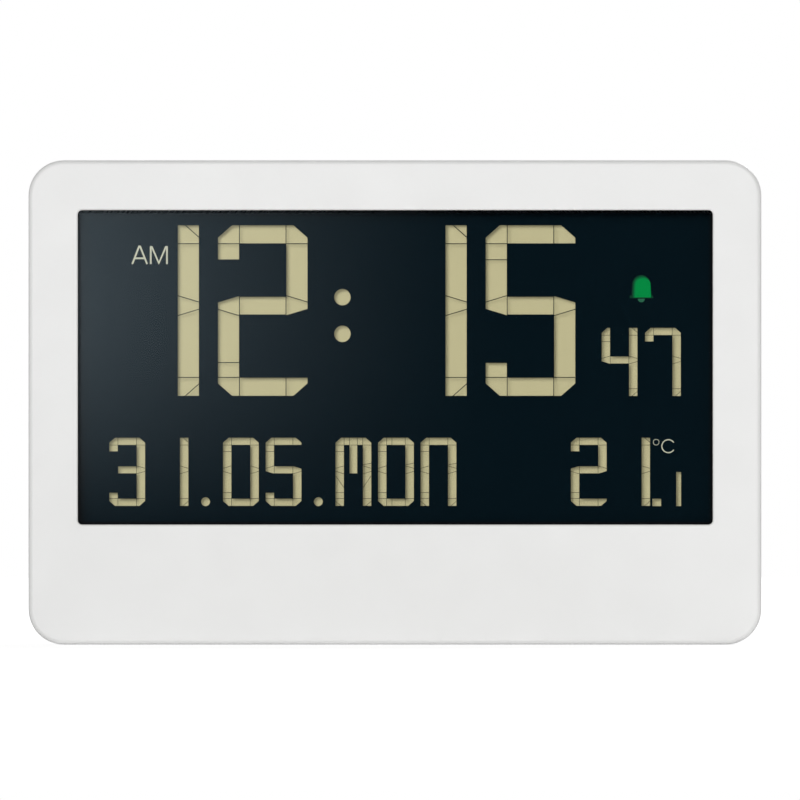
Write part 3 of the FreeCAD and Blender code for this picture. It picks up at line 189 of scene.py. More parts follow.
def moulded(name, colour, roughness=0.42, grain=0.25 * MM, depth=0.006 * MM):
    """Injection moulded plastic with a fine spark-eroded skin."""
    paint = Paint(name, colour, roughness, Specular_IOR_Level=0.45)
    paint.mottle(size=30 * MM, amount=0.008)
    paint.worn(size=12 * MM, amount=0.12)
    paint.grain(size=grain, depth=depth)
    return paint.material


# The power by which a clear sheet throws back more light at a slant, and the shares
# between which its roughness varies.
SLANT_POWER = 5
SMEAR_LEAST, SMEAR_MOST = 0.6, 1.6


def see_through(name, tint, reflection, roughness=0.02):
    """A clear sheet: light passes straight, and more of it is thrown back at a slant."""
    paint = Paint(name, (1, 1, 1), roughness)
    facing = paint.node("ShaderNodeLayerWeight", {"Blend": 0.5}).outputs["Facing"]
    slant = maths(paint.tree, "POWER", facing, SLANT_POWER)
    share = paint.between(slant, low=reflection, high=1.0)
    clear = paint.node("ShaderNodeBsdfTransparent", {"Color": (*tint, 1)})
    cloud = paint.noise(size=18 * MM, detail=4.0)
    smear = paint.between(cloud, low=roughness * SMEAR_LEAST, high=roughness * SMEAR_MOST)
    mirror = paint.node("ShaderNodeBsdfGlossy", {"Color": (1, 1, 1, 1), "Roughness": smear})
    mix = paint.node("ShaderNodeMixShader", {
        0: share, 1: clear.outputs["BSDF"], 2: mirror.outputs["BSDF"]})
    paint.tree.links.new(mix.outputs["Shader"], paint.output.inputs["Surface"])
    paint.tree.nodes.remove(paint.shader)
    return paint.material


def brushed(name, colour, roughness, stretch):
    """Plated sheet metal with rolling lines along the axis that is stretched."""
    paint = Paint(name, colour, roughness, Metallic=1.0)
    paint.mottle(size=4 * MM, amount=0.06)
    paint.worn(size=1.5 * MM, amount=0.25)
    paint.grain(size=0.3 * MM, depth=0.004 * MM, stretch=stretch)
    return paint.material


def rubber(name, colour):
    """Matt rubber with a coarse skin."""
    paint = Paint(name, colour, roughness=0.75, Specular_IOR_Level=0.3)
    paint.mottle(size=2 * MM, amount=0.12)
    paint.grain(size=0.35 * MM, depth=0.03 * MM, detail=4.0)
    return paint.material


def foam(name, colour):
    """Closed-cell foam: small round cells."""
    cell = 0.25 * MM
    paint = Paint(name, colour, roughness=0.9, Specular_IOR_Level=0.2)
    cells = paint.node("ShaderNodeTexVoronoi", {"Vector": paint.place, "Scale": 1 / cell})
    paint.relief(cells.outputs["Distance"], depth=0.05 * MM)
    paint.mottle(size=1.5 * MM, amount=0.2)
    return paint.material


def tape(name, colour):
    """Matt adhesive tape with a faint weave."""
    paint = Paint(name, colour, roughness=0.8, Specular_IOR_Level=0.05)
    paint.mottle(size=0.5 * MM, amount=0.2)
    paint.grain(size=0.3 * MM, depth=0.02 * MM, stretch=(1, 1, 3))
    return paint.material


def printed_ink(name, colour):
    """A smooth printed film with a trace of cloudiness."""
    paint = Paint(name, colour, roughness=0.5, Specular_IOR_Level=0.01)
    paint.mottle(size=25 * MM, amount=0.06)
    paint.worn(size=8 * MM, amount=0.1)
    return paint.material


def reflector_film(name, colour, specular=0.25):
    """Matt reflector film with a fine metallic sparkle."""
    paint = Paint(name, colour, roughness=0.6, Specular_IOR_Level=specular)
    paint.mottle(size=0.18 * MM, amount=0.05, detail=4.0)
    paint.grain(size=0.2 * MM, depth=0.006 * MM)
    return paint.material


TRACK_NET = 3.2 * MM
TRACK_WANDER = 0.55
TRACK_EDGE = (0.42, 0.46)
LACQUER_SHARE = 0.55


def solder_resist(name, mask, copper):
    """Green lacquer over a net of copper tracks on pale glass-fibre board."""
    paint = Paint(name, mask, roughness=0.32, Specular_IOR_Level=0.5,
                  Coat_Weight=0.3, Coat_Roughness=0.15)
    tracks = paint.node("ShaderNodeTexVoronoi", {
        "Vector": paint.place, "Scale": 1 / TRACK_NET, "Randomness": TRACK_WANDER},
        distance="MANHATTAN")
    near = paint.between(tracks.outputs["Distance"], low=0.0, high=1.0, source=TRACK_EDGE)
    over_copper = [LACQUER_SHARE * green + (1 - LACQUER_SHARE) * metal
                   for green, metal in zip(mask, copper)]
    paint.feed("Base Color", mixed(paint.tree, near, mask, over_copper))
    paint.relief(near, depth=0.02 * MM)
    paint.worn(size=6 * MM, amount=0.2)
    return paint.material


# A wave texture turns through this many radians in a unit of length at a scale of 1.
WAVE_RATE = 20


def striped(name, dark, light, pitch):
    """Thin stripes along X, such as those of a zebra connector or a flat cable."""
    paint = Paint(name, light, roughness=0.7, Specular_IOR_Level=0.3)
    wave = paint.node("ShaderNodeTexWave", {
        "Vector": paint.place, "Scale": math.tau / (WAVE_RATE * pitch)},
        bands_direction="X", wave_type="BANDS").outputs["Fac"]
    paint.feed("Base Color", mixed(paint.tree, wave, dark, light))
    paint.relief(wave, depth=0.05 * MM)
    return paint.material


# Where a cell's sleeve and its pale band start and stop, as shares of its length from the
# minus end.
SLEEVE_START, BAND_START, BAND_STOP, SLEEVE_STOP = 0.012, 0.76, 0.8, 0.965


def cell_sleeve(name, node, plus_at_right):
    """A plain battery: bare steel ends, a blue-grey sleeve with a pale band by the plus end."""
    low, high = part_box(node)
    start, stop = (low.x, high.x) if plus_at_right else (high.x, low.x)
    steel, pale, sleeve = srgb(190, 190, 188), srgb(196, 199, 203), srgb(52, 74, 104)
    paint = Paint(name, sleeve, roughness=0.3, Coat_Weight=0.4, Coat_Roughness=0.1)
    paint.bands(paint.along("X", start, stop), (0.0, steel, 1), (SLEEVE_START, sleeve, 0),
                (BAND_START, pale, 0.5), (BAND_STOP, sleeve, 0), (SLEEVE_STOP, steel, 1))
    paint.worn(size=5 * MM, amount=0.2)
    paint.grain(size=0.6 * MM, depth=0.008 * MM)
    return paint.material


def insulated(name, colour):
    """The plastic skin of a lead."""
    paint = Paint(name, colour, roughness=0.35, Specular_IOR_Level=0.5)
    paint.mottle(size=3 * MM, amount=0.05)
    paint.grain(size=0.4 * MM, depth=0.01 * MM)
    return paint.material


def ended_chip(name, node, body, tin, end_share):
    """Ceramic chip parts with tinned ends, lower and upper."""
    low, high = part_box(node)
    paint = Paint(name, body, roughness=0.4)
    paint.bands(paint.along("Z", low.z, high.z),
                (0.0, tin, 1), (end_share, body, 0), (1 - end_share, tin, 1))
    paint.worn(size=0.4 * MM, amount=0.3)
    paint.grain(size=0.15 * MM, depth=0.01 * MM)
    return paint.material


WHITE = srgb(233, 233, 232)
INK = (0.0016, 0.0070, 0.0112)
CREAM = srgb(209, 199, 156)
DULL_FILM = 0.02
MATERIALS = {
    "white_abs": moulded("white_abs", WHITE),
    "black_tape": tape("black_tape", srgb(8, 10, 13)),
    "clear_lens": see_through("clear_lens", tint=(0.985, 0.99, 0.99), reflection=0.025),
    "black_foam": foam("black_foam", srgb(26, 26, 27)),
    "lcd_glass": see_through("lcd_glass", tint=(0.985, 0.99, 0.985), reflection=0.004, roughness=0.04),
    "mask_ink": printed_ink("mask_ink", INK),
    "green_film": reflector_film("green_film", srgb(0, 158, 74), DULL_FILM),
    "cream_film": reflector_film("cream_film", CREAM),
    "black_abs": moulded("black_abs", srgb(30, 30, 32), roughness=0.5),
    "zebra_rubber": striped(
        "zebra_rubber", srgb(35, 35, 36), srgb(190, 190, 192), pitch=0.5 * MM),
    "board": solder_resist("board", mask=srgb(14, 92, 48), copper=srgb(150, 140, 60)),
    "epoxy": moulded("epoxy", srgb(16, 16, 17), roughness=0.22, grain=2.0 * MM, depth=0.05 * MM),
    "steel": brushed("steel", srgb(196, 198, 200), roughness=0.32, stretch=(1, 1, 1)),
    "ceramic_tan": ended_chip("ceramic_tan", "chip_capacitors", body=srgb(176, 148, 112),
                              tin=srgb(200, 200, 200), end_share=0.2),
    "can_sleeve": moulded(
        "can_sleeve", srgb(40, 44, 78), roughness=0.3, grain=0.8 * MM, depth=0.01 * MM),
    "brass": brushed("brass", srgb(214, 176, 98), roughness=0.3, stretch=(6, 1, 1)),
    "ceramic_white": reflector_film("ceramic_white", srgb(222, 218, 206)),
    "lead_black": insulated("lead_black", srgb(22, 22, 23)),
    "lead_red": insulated("lead_red", srgb(184, 24, 20)),
    "switch_black": moulded("switch_black", srgb(24, 24, 25), roughness=0.35),
    "ribbon_grey": striped(
        "ribbon_grey", srgb(120, 122, 126), srgb(190, 192, 196), pitch=1.0 * MM),
    "spring_steel": brushed("spring_steel", srgb(206, 206, 204), roughness=0.24, stretch=(1, 1, 10)),
    "rubber_pad": rubber("rubber_pad", srgb(60, 61, 63)),
    "button_grey": moulded("button_grey", srgb(176, 179, 183), roughness=0.45),
}
SIGN_FILM = reflector_film("sign_film", srgb(206, 206, 184))
PRINT = printed_ink("print", srgb(44, 46, 50))
PALE_PRINT = printed_ink("pale_print", srgb(214, 216, 218))
CLEAR_NODES = ("display_lens", "lcd_front_glass", "lcd_rear_glass")


def paint_nodes():
    """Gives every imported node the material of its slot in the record. The clear sheets cast
    no shadow, and neither they nor the mask dim the light inside the display."""
    for part in frame["record"]["subparts"]:
        node, slot = part["node"], part["material_slot"]
        if slot == "cell_sleeve":
            material = cell_sleeve(node + "_sleeve", node, node == "battery_upper")
        else:
            material = MATERIALS[slot]
        NODES[node].data.materials.clear()
        NODES[node].data.materials.append(material)
    for name in CLEAR_NODES:
        NODES[name].visible_shadow = False
        NODES[name].visible_diffuse = False
    NODES["lcd_segment_mask"].visible_diffuse = False


# ---------------------------------------------------------------- rounded edges

# Edges that bend more than SHARP_ANGLE are rounded, those below SMOOTH_ANGLE are shaded
# smooth, and faces within LEVEL_ANGLE of each other lie in one plane. LIP_REACH is how far
# from its depth a lip's edge may lie, and CASE_CORNER is the radius of the case's corners.
SHARP_ANGLE = math.radians(28)
SMOOTH_ANGLE = math.radians(24)
LEVEL_ANGLE = math.radians(0.3)
WELD_DISTANCE = 0.001 * MM
LIP_REACH = 0.01 * MM
CASE_CORNER = 11.1 * MM


class EdgeRule:
    """Picks edges of a mesh: 1 for those that are picked, otherwise 0."""

    def __init__(self, group):
        self.group = group
        place = add_node(group, "GeometryNodeInputPosition").outputs[0]
        self.x, self.y, self.z = add_node(group, "ShaderNodeSeparateXYZ", {0: place}).outputs
        bend = add_node(group, "GeometryNodeInputMeshEdgeAngle").outputs["Signed Angle"]
        self.sharp = self.maths("GREATER_THAN", bend, SHARP_ANGLE)

    def maths(self, operation, first, second=0):
        return maths(self.group, operation, first, second)

    def overshoot(self, value, limit):
        """The square of what a value, whatever its sign, has over a limit."""
        over = self.maths("SUBTRACT", self.maths("ABSOLUTE", value), limit)
        return self.maths("POWER", self.maths("MAXIMUM", over, 0), 2)

    def spread(self):
        """How far an edge lies outside the rectangle between the centres of the case's
        round corners, seen from the front."""
        low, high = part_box("front_housing")
        half_way = (low.z + high.z) / 2
        sideways = self.overshoot(self.x, high.x - CASE_CORNER)
        height = self.maths("SUBTRACT", self.z, half_way)
        upwards = self.overshoot(height, high.z - half_way - CASE_CORNER)
        return self.maths("POWER", self.maths("ADD", sideways, upwards), 0.5)

    def outline(self, depth, towards, reach):
        """Sharp edges past that depth, towards +1 or -1 along Y, and past that reach."""
        past = self.maths("GREATER_THAN", self.maths("MULTIPLY", self.y, towards), depth * towards)
        outside = self.maths("GREATER_THAN", self.spread(), reach)
        return self.maths("MULTIPLY", self.maths("MULTIPLY", outside, past), self.sharp)

    def lips(self, depth, reach):
        """Sharp edges that lie at that depth, within that reach."""
        away = self.maths("ABSOLUTE", self.maths("SUBTRACT", self.y, depth))
        near = self.maths("LESS_THAN", away, LIP_REACH)
        inside = self.maths("LESS_THAN", self.spread(), reach)
        return self.maths("MULTIPLY", self.maths("MULTIPLY", inside, near), self.sharp)


def welded(marks=()):
    """Geometry nodes that join split vertices and shade smooth between nearly level faces.
    Each mark is the name of an edge weight and the rule that gives it."""
    group = bpy.data.node_groups.new("welded", "GeometryNodeTree")
    for way in ("INPUT", "OUTPUT"):
        group.interface.new_socket("Geometry", in_out=way, socket_type="NodeSocketGeometry")
    angle = add_node(group, "GeometryNodeInputMeshEdgeAngle").outputs["Unsigned Angle"]
    nearly_level = maths(group, "LESS_THAN", angle, SMOOTH_ANGLE)
    steps = [
        ("GeometryNodeMergeByDistance", {"Distance": WELD_DISTANCE}, {}),
        ("GeometryNodeRemoveAttribute", {"Name": "custom_normal"}, {}),
        ("GeometryNodeSetShadeSmooth", {"Shade Smooth": True}, {"domain": "FACE"}),
        ("GeometryNodeSetShadeSmooth", {"Shade Smooth": nearly_level}, {"domain": "EDGE"}),
    ]
    for weight, rule in marks:
        steps.append(("GeometryNodeStoreNamedAttribute",
                      {"Name": weight, "Value": rule(EdgeRule(group))},
                      {"data_type": "FLOAT", "domain": "EDGE"}))
    geometry = add_node(group, "NodeGroupInput").outputs[0]
    for kind, sockets, settings in steps:
        made = add_node(group, kind, {"Geometry": geometry, **sockets}, **settings)
        geometry = made.outputs["Geometry"]
    add_node(group, "NodeGroupOutput", {0: geometry})
    return group


WELDED = welded()


def level(node, marks=()):
    """Joins the node's split vertices, then its triangles that lie in one plane."""
    weld = node.modifiers.new("weld", "NODES")
    weld.node_group = welded(marks) if marks else WELDED
    plane = node.modifiers.new("plane", "DECIMATE")
    plane.decimate_type = "DISSOLVE"
    plane.angle_limit = LEVEL_ANGLE


def rounding(node, name, width, segments, weight=None):
    """Rounds the node's sharp edges, or those that have that weight."""
    bevel = node.modifiers.new(name, "BEVEL")
    bevel.width = width
    bevel.segments = segments
    bevel.face_strength_mode = "FSTR_ALL"
    if weight:
        bevel.limit_method = "WEIGHT"
        bevel.edge_weight = weight
    else:
        bevel.limit_method = "ANGLE"
        bevel.angle_limit = SHARP_ANGLE


def even_shading(node):
    """Keeps the shading of flat faces flat beside the roundings."""
    even = node.modifiers.new("even", "WEIGHTED_NORMAL")
    even.mode = "FACE_AREA"
    even.weight = 100
    even.use_face_influence = True
    even.keep_sharp = True


def round_edges(names, width, segments):
    """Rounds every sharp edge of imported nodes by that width."""
    for name in names:
        level(NODES[name])
        rounding(NODES[name], "round", width, segments)
        even_shading(NODES[name])


def round_shell(name, roundings):
    """Rounds edges of a moulded piece. Each rounding is its name, width and segments, and
    the rule that picks its edges."""
    level(NODES[name], [(label + "_weight", rule) for label, width, segments, rule in roundings])
    for label, width, segments, rule in roundings:
        rounding(NODES[name], label, width, segments, label + "_weight")
    even_shading(NODES[name])


# A rim's edges lie past its depth and past its reach, as EdgeRule.spread measures it.
FACE_RIM_DEPTH, FACE_RIM_REACH = -13.9 * MM, 10.0 * MM
BACK_RIM_DEPTH, BACK_RIM_REACH = 12.9 * MM, 9.05 * MM


def face_rim(rule):
    """The outer edge round the face."""
    return rule.outline(FACE_RIM_DEPTH, -1, FACE_RIM_REACH)


def back_rim(rule):
    """The outer edge round the back."""
    return rule.outline(BACK_RIM_DEPTH, 1, BACK_RIM_REACH)


def back_lips(rule):
    """The edges of the openings in the flat back."""
    return rule.lips(BACK, BACK_RIM_REACH)


def stand_lips(rule):
    """The edges round the stand's outer side."""
    return rule.lips(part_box("stand")[1].y, BACK_RIM_REACH)


# Each rounding's name, width and segments, and the rule that picks its edges.
SHELL_ROUNDINGS = {
    "front_housing": [("outline", 0.54 * MM, 4, face_rim)],
    "rear_cover": [("outline", 0.3 * MM, 3, back_rim), ("lips", 0.15 * MM, 2, back_lips)],
    "stand": [("lips", 0.2 * MM, 2, stand_lips)],
}
# The nodes that are rounded at every sharp edge, with the width and segments.
SMALL_ROUNDINGS = (
    (["battery_door", "alarm_slider"], 0.15 * MM, 2),
    ([name + "_button" for name in BUTTON_NAMES], 0.2 * MM, 3),
    (["battery_upper", "battery_lower"], 0.45 * MM, 3),
    (["case_screws"], 0.12 * MM, 2),
    (["controller_chip"], 0.7 * MM, 4),
    (["bulk_capacitor", "quartz_crystal"], 0.3 * MM, 3),
    (["slide_switch", "tact_switches", "ribbon_cable"], 0.15 * MM, 2),
)


def round_nodes():
    """Makes all the roundings."""
    for name, roundings in SHELL_ROUNDINGS.items():
        round_shell(name, roundings)
    for names, width, segments in SMALL_ROUNDINGS:
        round_edges(names, width, segments)


# ---------------------------------------------------------------- pieces of the scene's own

# The photograph's scale and size, its column at the clock's middle and its row at the table.
PIXEL = 0.31382 * MM
PICTURE_SIDE = 800
MIDDLE_COLUMN = 394.95
TABLE_ROW = 644.6
SHARPEST_MITRE = 0.5


def spot(column, row):
    """The point of the clock's face, across and up, that shows at this place of the picture."""
    return Vector(((column - MIDDLE_COLUMN) * PIXEL, (TABLE_ROW - row) * PIXEL))


def spots(places):
    """The points of several places of the picture."""
    return [spot(column, row) for column, row in places]


def middle(node):
    """The middle of a node's box."""
    low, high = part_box(node)
    return (low + high) / 2


def placed(name, data, place=(0, 0, 0), turn=(0, 0, 0)):
    """A new object of the scene at that place, turned by those angles."""
    made = bpy.data.objects.new(name, data)
    made.location = place
    made.rotation_euler = turn
    bpy.context.scene.collection.objects.link(made)
    return made


def mesh_data(name, mesh, material):
    """A finished bmesh as an object's data."""
    data = bpy.data.meshes.new(name)
    mesh.to_mesh(data)
    mesh.free()
    data.materials.append(material)
    return data


def piece(name, mesh, material, body="case"):
    """A finished bmesh as an object that moves with that body."""
    bmesh.ops.recalc_face_normals(mesh, faces=mesh.faces)
    made = placed(name, mesh_data(name, mesh, material))
    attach(made, body)
    return made


def band(mesh, here, there):
    """Joins two closed rings of vertices by a band of faces."""
    for index in range(len(here)):
        after = (index + 1) % len(here)
        mesh.faces.new((here[index], here[after], there[after], there[index]))


def solid_through(mesh, rings):
    """Adds the solid that passes through rings of points, closed at its two ends."""
    rings = [[mesh.verts.new(point) for point in ring] for ring in rings]
    mesh.faces.new(rings[0])
    mesh.faces.new(rings[-1][::-1])
    for here, there in zip(rings, rings[1:]):
        band(mesh, here, there)


def flat_shape(mesh, outline, front, back):
    """Adds a flat plate of that outline."""
    solid_through(mesh, [[(x, depth, z) for x, z in outline] for depth in (front, back)])


def stroke(mesh, points, width, front, back):
    """Adds a flat line of that width through the points, with mitred corners."""
    rings = []
    for index, point in enumerate(points):
        before = (point - points[index - 1]).normalized() if index else None
        after = (points[index + 1] - point).normalized() if index + 1 < len(points) else None
        before, after = before or after, after or before
        along = (before + after).normalized()
        across = Vector((-along.y, along.x))
        reach = width / 2 / max(across.dot(Vector((-after.y, after.x))), SHARPEST_MITRE)
        left, right = point + across * reach, point - across * reach
        rings.append([(side.x, depth, side.y) for side, depth in (
            (left, front), (right, front), (right, back), (left, back))])
    solid_through(mesh, rings)


def arc(centre, radius, start, stop, steps=24, rise=None):
    """Points on an arc, angles in degrees anticlockwise from the right. rise is its
    upward radius where that differs."""
    turns = [math.radians(start + (stop - start) * step / steps) for step in range(steps + 1)]
    return [centre + Vector((radius * math.cos(turn), (rise or radius) * math.sin(turn)))
            for turn in turns]


def rectangle(left, low, right, high):
    """A rectangle's corners, from columns and rows of the picture."""
    return spots(((left, low), (right, low), (right, high), (left, high)))


def rounded_outline(low, high, corner):
    """A rectangle with round corners, from its lower left and upper right points."""
    inner_low = low + Vector((corner, corner))
    inner_high = high - Vector((corner, corner))
    centres = ((inner_low.x, inner_low.y), (inner_high.x, inner_low.y),
               (inner_high.x, inner_high.y), (inner_low.x, inner_high.y))
    points = []
    for quarter, centre in enumerate(centres):
        start = 180 + 90 * quarter
        points += arc(Vector(centre), corner, start, start + 90, steps=6)
    return points


# ---- signs and hairlines of the display, in the picture's own pixels

SIGN_RISE = 0.014 * MM
SIGN_SINK = 0.01 * MM
LETTER_STROKE = 1.75
LETTER_A = ([(132.1, 264.0), (138.9, 246.4), (140.0, 246.4), (147.0, 264.0)],
            [(134.9, 258.2), (144.4, 258.2)])
LETTER_M = ([(150.6, 264.0), (150.6, 246.9), (151.7, 246.9), (158.7, 263.0),
             (165.7, 246.9), (166.8, 246.9), (166.8, 264.0)],)
DEGREE_MIDDLE, DEGREE_RADIUS, DEGREE_STROKE = (656.3, 442.2), 2.9, 0.55
DEGREE_TURN = 358
CELSIUS_MIDDLE, CELSIUS_RADIUS, CELSIUS_STROKE = (668.5, 446.2), 6.5, 1.05
CELSIUS_OPENING = 34
HAIRLINE_STROKE = 0.45
HAIRLINES = ([(335.8, 476.0), (344.0, 488.0)], [(371.0, 476.0), (362.8, 488.0)],
             [(363.0, 464.8), (371.2, 463.2)], [(405.7, 464.8), (413.9, 463.2)],
             [(448.4, 464.8), (456.6, 463.2)])


def on_mask(name, strokes, material, front, back):
    """Flat lines on the segment mask; each is its points and its width in pixels."""
    mesh = bmesh.new()
    for points, width in strokes:
        stroke(mesh, points, width * PIXEL, front, back)
    piece(name, mesh, material)


def display_signs():
    """AM beside the hours and the degree sign beside the temperature."""
    letters = [(spots(path), LETTER_STROKE) for path in LETTER_A + LETTER_M]
    ring = arc(spot(*DEGREE_MIDDLE), DEGREE_RADIUS * PIXEL, 0, DEGREE_TURN)
    letter = arc(spot(*CELSIUS_MIDDLE), CELSIUS_RADIUS * PIXEL,
                 CELSIUS_OPENING, 360 - CELSIUS_OPENING)
    front, back = MASK_FRONT - SIGN_RISE, MASK_FRONT + SIGN_SINK
    on_mask("morning_sign", letters, SIGN_FILM, front, back)
    on_mask("celsius_sign", [(ring, DEGREE_STROKE), (letter, CELSIUS_STROKE)],
            SIGN_FILM, front, back)


def weekday_hairlines():
    """The gaps between the slanted segments of the weekday's letters."""
    lines = [(spots(path), HAIRLINE_STROKE) for path in HAIRLINES]
    on_mask("weekday_hairlines", lines, MATERIALS["mask_ink"], MASK_FRONT, MASK_BACK)


# ---- the alarm bell and the mask's dark patches, in the picture's own pixels

# Each film of the bell: how far its left and its top are drawn in, and its colour. The outer films are
# darker, a painted shade along the bell's left and top.
BELL_COLUMN, BELL_TOP, BELL_SHOULDER, BELL_HEM, BELL_FOOT = 641.5, 275.0, 284.5, 295.4, 298.2
BELL_HALF, BELL_HEM_HALF, BELL_RIM_HALF = 9.1, 9.7, 11.6
BELL_BODY_FOOT = 297.4
BELL_SHADED_FILMS = ((0, srgb(20, 60, 44)), (1.1, srgb(12, 92, 54)), (2.2, srgb(10, 120, 64)),
              (3.3, srgb(4, 144, 70)))
CLAPPER_ROW, CLAPPER_RADIUS = 298.7, 3.5
CLAPPER_GREEN = srgb(48, 106, 80)
CLAPPER_COVER = (637.4, 303.4, 645.6, 298.3)
FOUR_CORNER = ((600.9, 332.9), (600.9, 327.0), (608.2, 327.0))
PATCH_RISE = 0.005 * MM
SHADE_RISE = 0.009 * MM
FILM_STEP = 0.001 * MM


def bell_outline(shade, foot):
    """The bell's round top and slightly flared sides, down to that row. shade is how far
    its left and its top are drawn in."""
    column, half = BELL_COLUMN + shade / 2, BELL_HALF - shade / 2
    dome = arc(spot(column, BELL_SHOULDER), half * PIXEL, 0, 180,
               rise=(BELL_SHOULDER - BELL_TOP - shade) * PIXEL)
    spread = BELL_HEM_HALF - BELL_HALF
    return dome + spots(((column - half - spread, foot), (column + half + spread, foot)))


def bell_sign():
    """The alarm bell as films on each other, whose darker outer films are a painted shade at its left
    and top, and its clapper.
    """
    back = MASK_FRONT + SIGN_SINK
    # The darker films below the last one make the painted shade at the bell's left and top.
    for step, (shade, colour) in enumerate(BELL_SHADED_FILMS):
        front = MASK_FRONT - SHADE_RISE - step * FILM_STEP
        mesh = bmesh.new()
        flat_shape(mesh, bell_outline(shade, BELL_HEM if step == 0 else BELL_BODY_FOOT), front, back)
        if step == 0:
            rim = rectangle(BELL_COLUMN - BELL_RIM_HALF, BELL_FOOT,
                            BELL_COLUMN + BELL_RIM_HALF, BELL_HEM)
            flat_shape(mesh, rim, front, back)
        name = f"bell_shaded_film_{step + 1}"
        piece(name, mesh, reflector_film(name, colour, DULL_FILM))
    mesh = bmesh.new()
    clapper = arc(spot(BELL_COLUMN, CLAPPER_ROW), CLAPPER_RADIUS * PIXEL, 180, 360)
    flat_shape(mesh, clapper, MASK_FRONT - SIGN_RISE, MASK_FRONT)
    piece("bell_clapper", mesh, reflector_film("clapper_green", CLAPPER_GREEN, DULL_FILM))


def mask_patches():
    """Dark film over the clapper's square window and over the corner of the seconds' four."""
    mesh = bmesh.new()
    for outline in (rectangle(*CLAPPER_COVER), spots(FOUR_CORNER)):
        flat_shape(mesh, outline, MASK_FRONT - PATCH_RISE, MASK_FRONT + SIGN_SINK)
    piece("mask_patches", mesh, MATERIALS["mask_ink"])


# ---- the black fill in the gap round the window

LENS_GAP = 0.15 * MM
WINDOW_CORNER = 1.4 * MM
GAP_FILL_SINK = 0.05 * MM


def window_gap_fill():
    """Fills the gap between the window and its housing with a black ring."""
    low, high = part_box("display_lens")
    fill_front, fill_back = low.y + GAP_FILL_SINK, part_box("lens_tape")[1].y
    inner_low, inner_high = Vector((low.x, low.z)), Vector((high.x, high.z))
    gap = Vector((LENS_GAP, LENS_GAP))
    inner = rounded_outline(inner_low, inner_high, WINDOW_CORNER - LENS_GAP)
    outer = rounded_outline(inner_low - gap, inner_high + gap, WINDOW_CORNER)
    mesh = bmesh.new()
    rings = [[mesh.verts.new((x, depth, z)) for x, z in outline]
             for outline, depth in ((inner, fill_front), (outer, fill_front),
                                    (outer, fill_back), (inner, fill_back))]
    for here, there in zip(rings, rings[1:] + rings[:1]):
        band(mesh, here, there)
    piece("window_gap_fill", mesh, MATERIALS["black_tape"])


# ---- printed words and signs on the control panel

PANEL_DEEP = 1.0 * MM
PANEL_FLOOR = BACK - PANEL_DEEP
PRINT_TALL = 2.1 * MM
RESET_TALL = 1.7 * MM
SIGN_TALL = 3.6 * MM
PRINT_RISE = 0.03 * MM
CAPITAL_SHARE = 0.7
WORD_DROP = 5.3 * MM
SWITCH_WORD_APART = 3.2 * MM
RESET_ACROSS = 42 * MM
READ_FROM_BEHIND = (math.radians(90), 0, math.radians(180))
BUTTON_WORDS = (("set", "SET", PRINT_TALL), ("plus", "+", SIGN_TALL),
                ("minus", "\u2013", SIGN_TALL), ("snooze", "SNOOZE", PRINT_TALL))


def printed(name, text, x, z, tall=PRINT_TALL, body="case"):
    """Dark letters on the panel that read from behind."""
    data = bpy.data.curves.new(name, "FONT")
    data.body = text
    data.size = tall / CAPITAL_SHARE
    data.align_x = "CENTER"
    data.align_y = "CENTER"
    data.extrude = PRINT_RISE
    data.materials.append(PRINT)
    made = placed(name, data, (x, PANEL_FLOOR, z), READ_FROM_BEHIND)
    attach(made, body)


def panel_words():
    """A word or sign below each button, and words at the alarm switch and the reset hole."""
    for name, text, tall in BUTTON_WORDS:
        place = middle(name + "_button")
        printed(name + "_word", text, place.x, place.z - WORD_DROP, tall)
    switch = middle("slide_switch")
    printed("alarm_word", "ALARM", switch.x, switch.z + WORD_DROP)
    printed("off_word", "OFF", switch.x - SWITCH_WORD_APART, switch.z - WORD_DROP)
    printed("on_word", "ON", switch.x + SWITCH_WORD_APART, switch.z - WORD_DROP)
    printed("reset_word", "RESET", RESET_ACROSS, switch.z - WORD_DROP, RESET_TALL)


# ---- plus and minus on the batteries

MARK_LONG = 3.4 * MM
MARK_WIDE = 0.8 * MM
MARK_IN = 5.5 * MM
MARK_STEPS = 6
CELL_RADIUS = 7.1 * MM


def wrapped_bar(mesh, node, across, long, start, stop):
    """Adds a thin bar on a battery's round side, towards the door: its middle along the
    battery, its length along it, and its start and stop round it."""
    axis = middle(node)
    left, right = across - long / 2, across + long / 2
    rise, sink = CELL_RADIUS + PRINT_RISE, CELL_RADIUS - PRINT_RISE
    rings = []
    for step in range(MARK_STEPS + 1):
        turn = (start + (stop - start) * step / MARK_STEPS) / CELL_RADIUS
        rings.append([(x, axis.y + radius * math.cos(turn), axis.z + radius * math.sin(turn))
                      for x, radius in ((left, rise), (right, rise), (right, sink), (left, sink))])
    solid_through(mesh, rings)


def polarity_marks():
    """A plus sign by the plus end and a minus sign by the other, on each battery."""
    for node, side in (("battery_upper", 1), ("battery_lower", -1)):
        low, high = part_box(node)
        plus_end, minus_end = (high.x, low.x) if side > 0 else (low.x, high.x)
        plus, minus = plus_end - side * MARK_IN, minus_end + side * MARK_IN
        half_long, half_wide = MARK_LONG / 2, MARK_WIDE / 2
        mesh = bmesh.new()
        wrapped_bar(mesh, node, plus, MARK_LONG, -half_wide, half_wide)
        wrapped_bar(mesh, node, plus, MARK_WIDE, half_wide, half_long)
        wrapped_bar(mesh, node, plus, MARK_WIDE, -half_long, -half_wide)
        wrapped_bar(mesh, node, minus, MARK_WIDE, -half_long, half_long)
        piece(node + "_marks", mesh, PALE_PRINT)


# ---------------------------------------------------------------- stage, light and camera

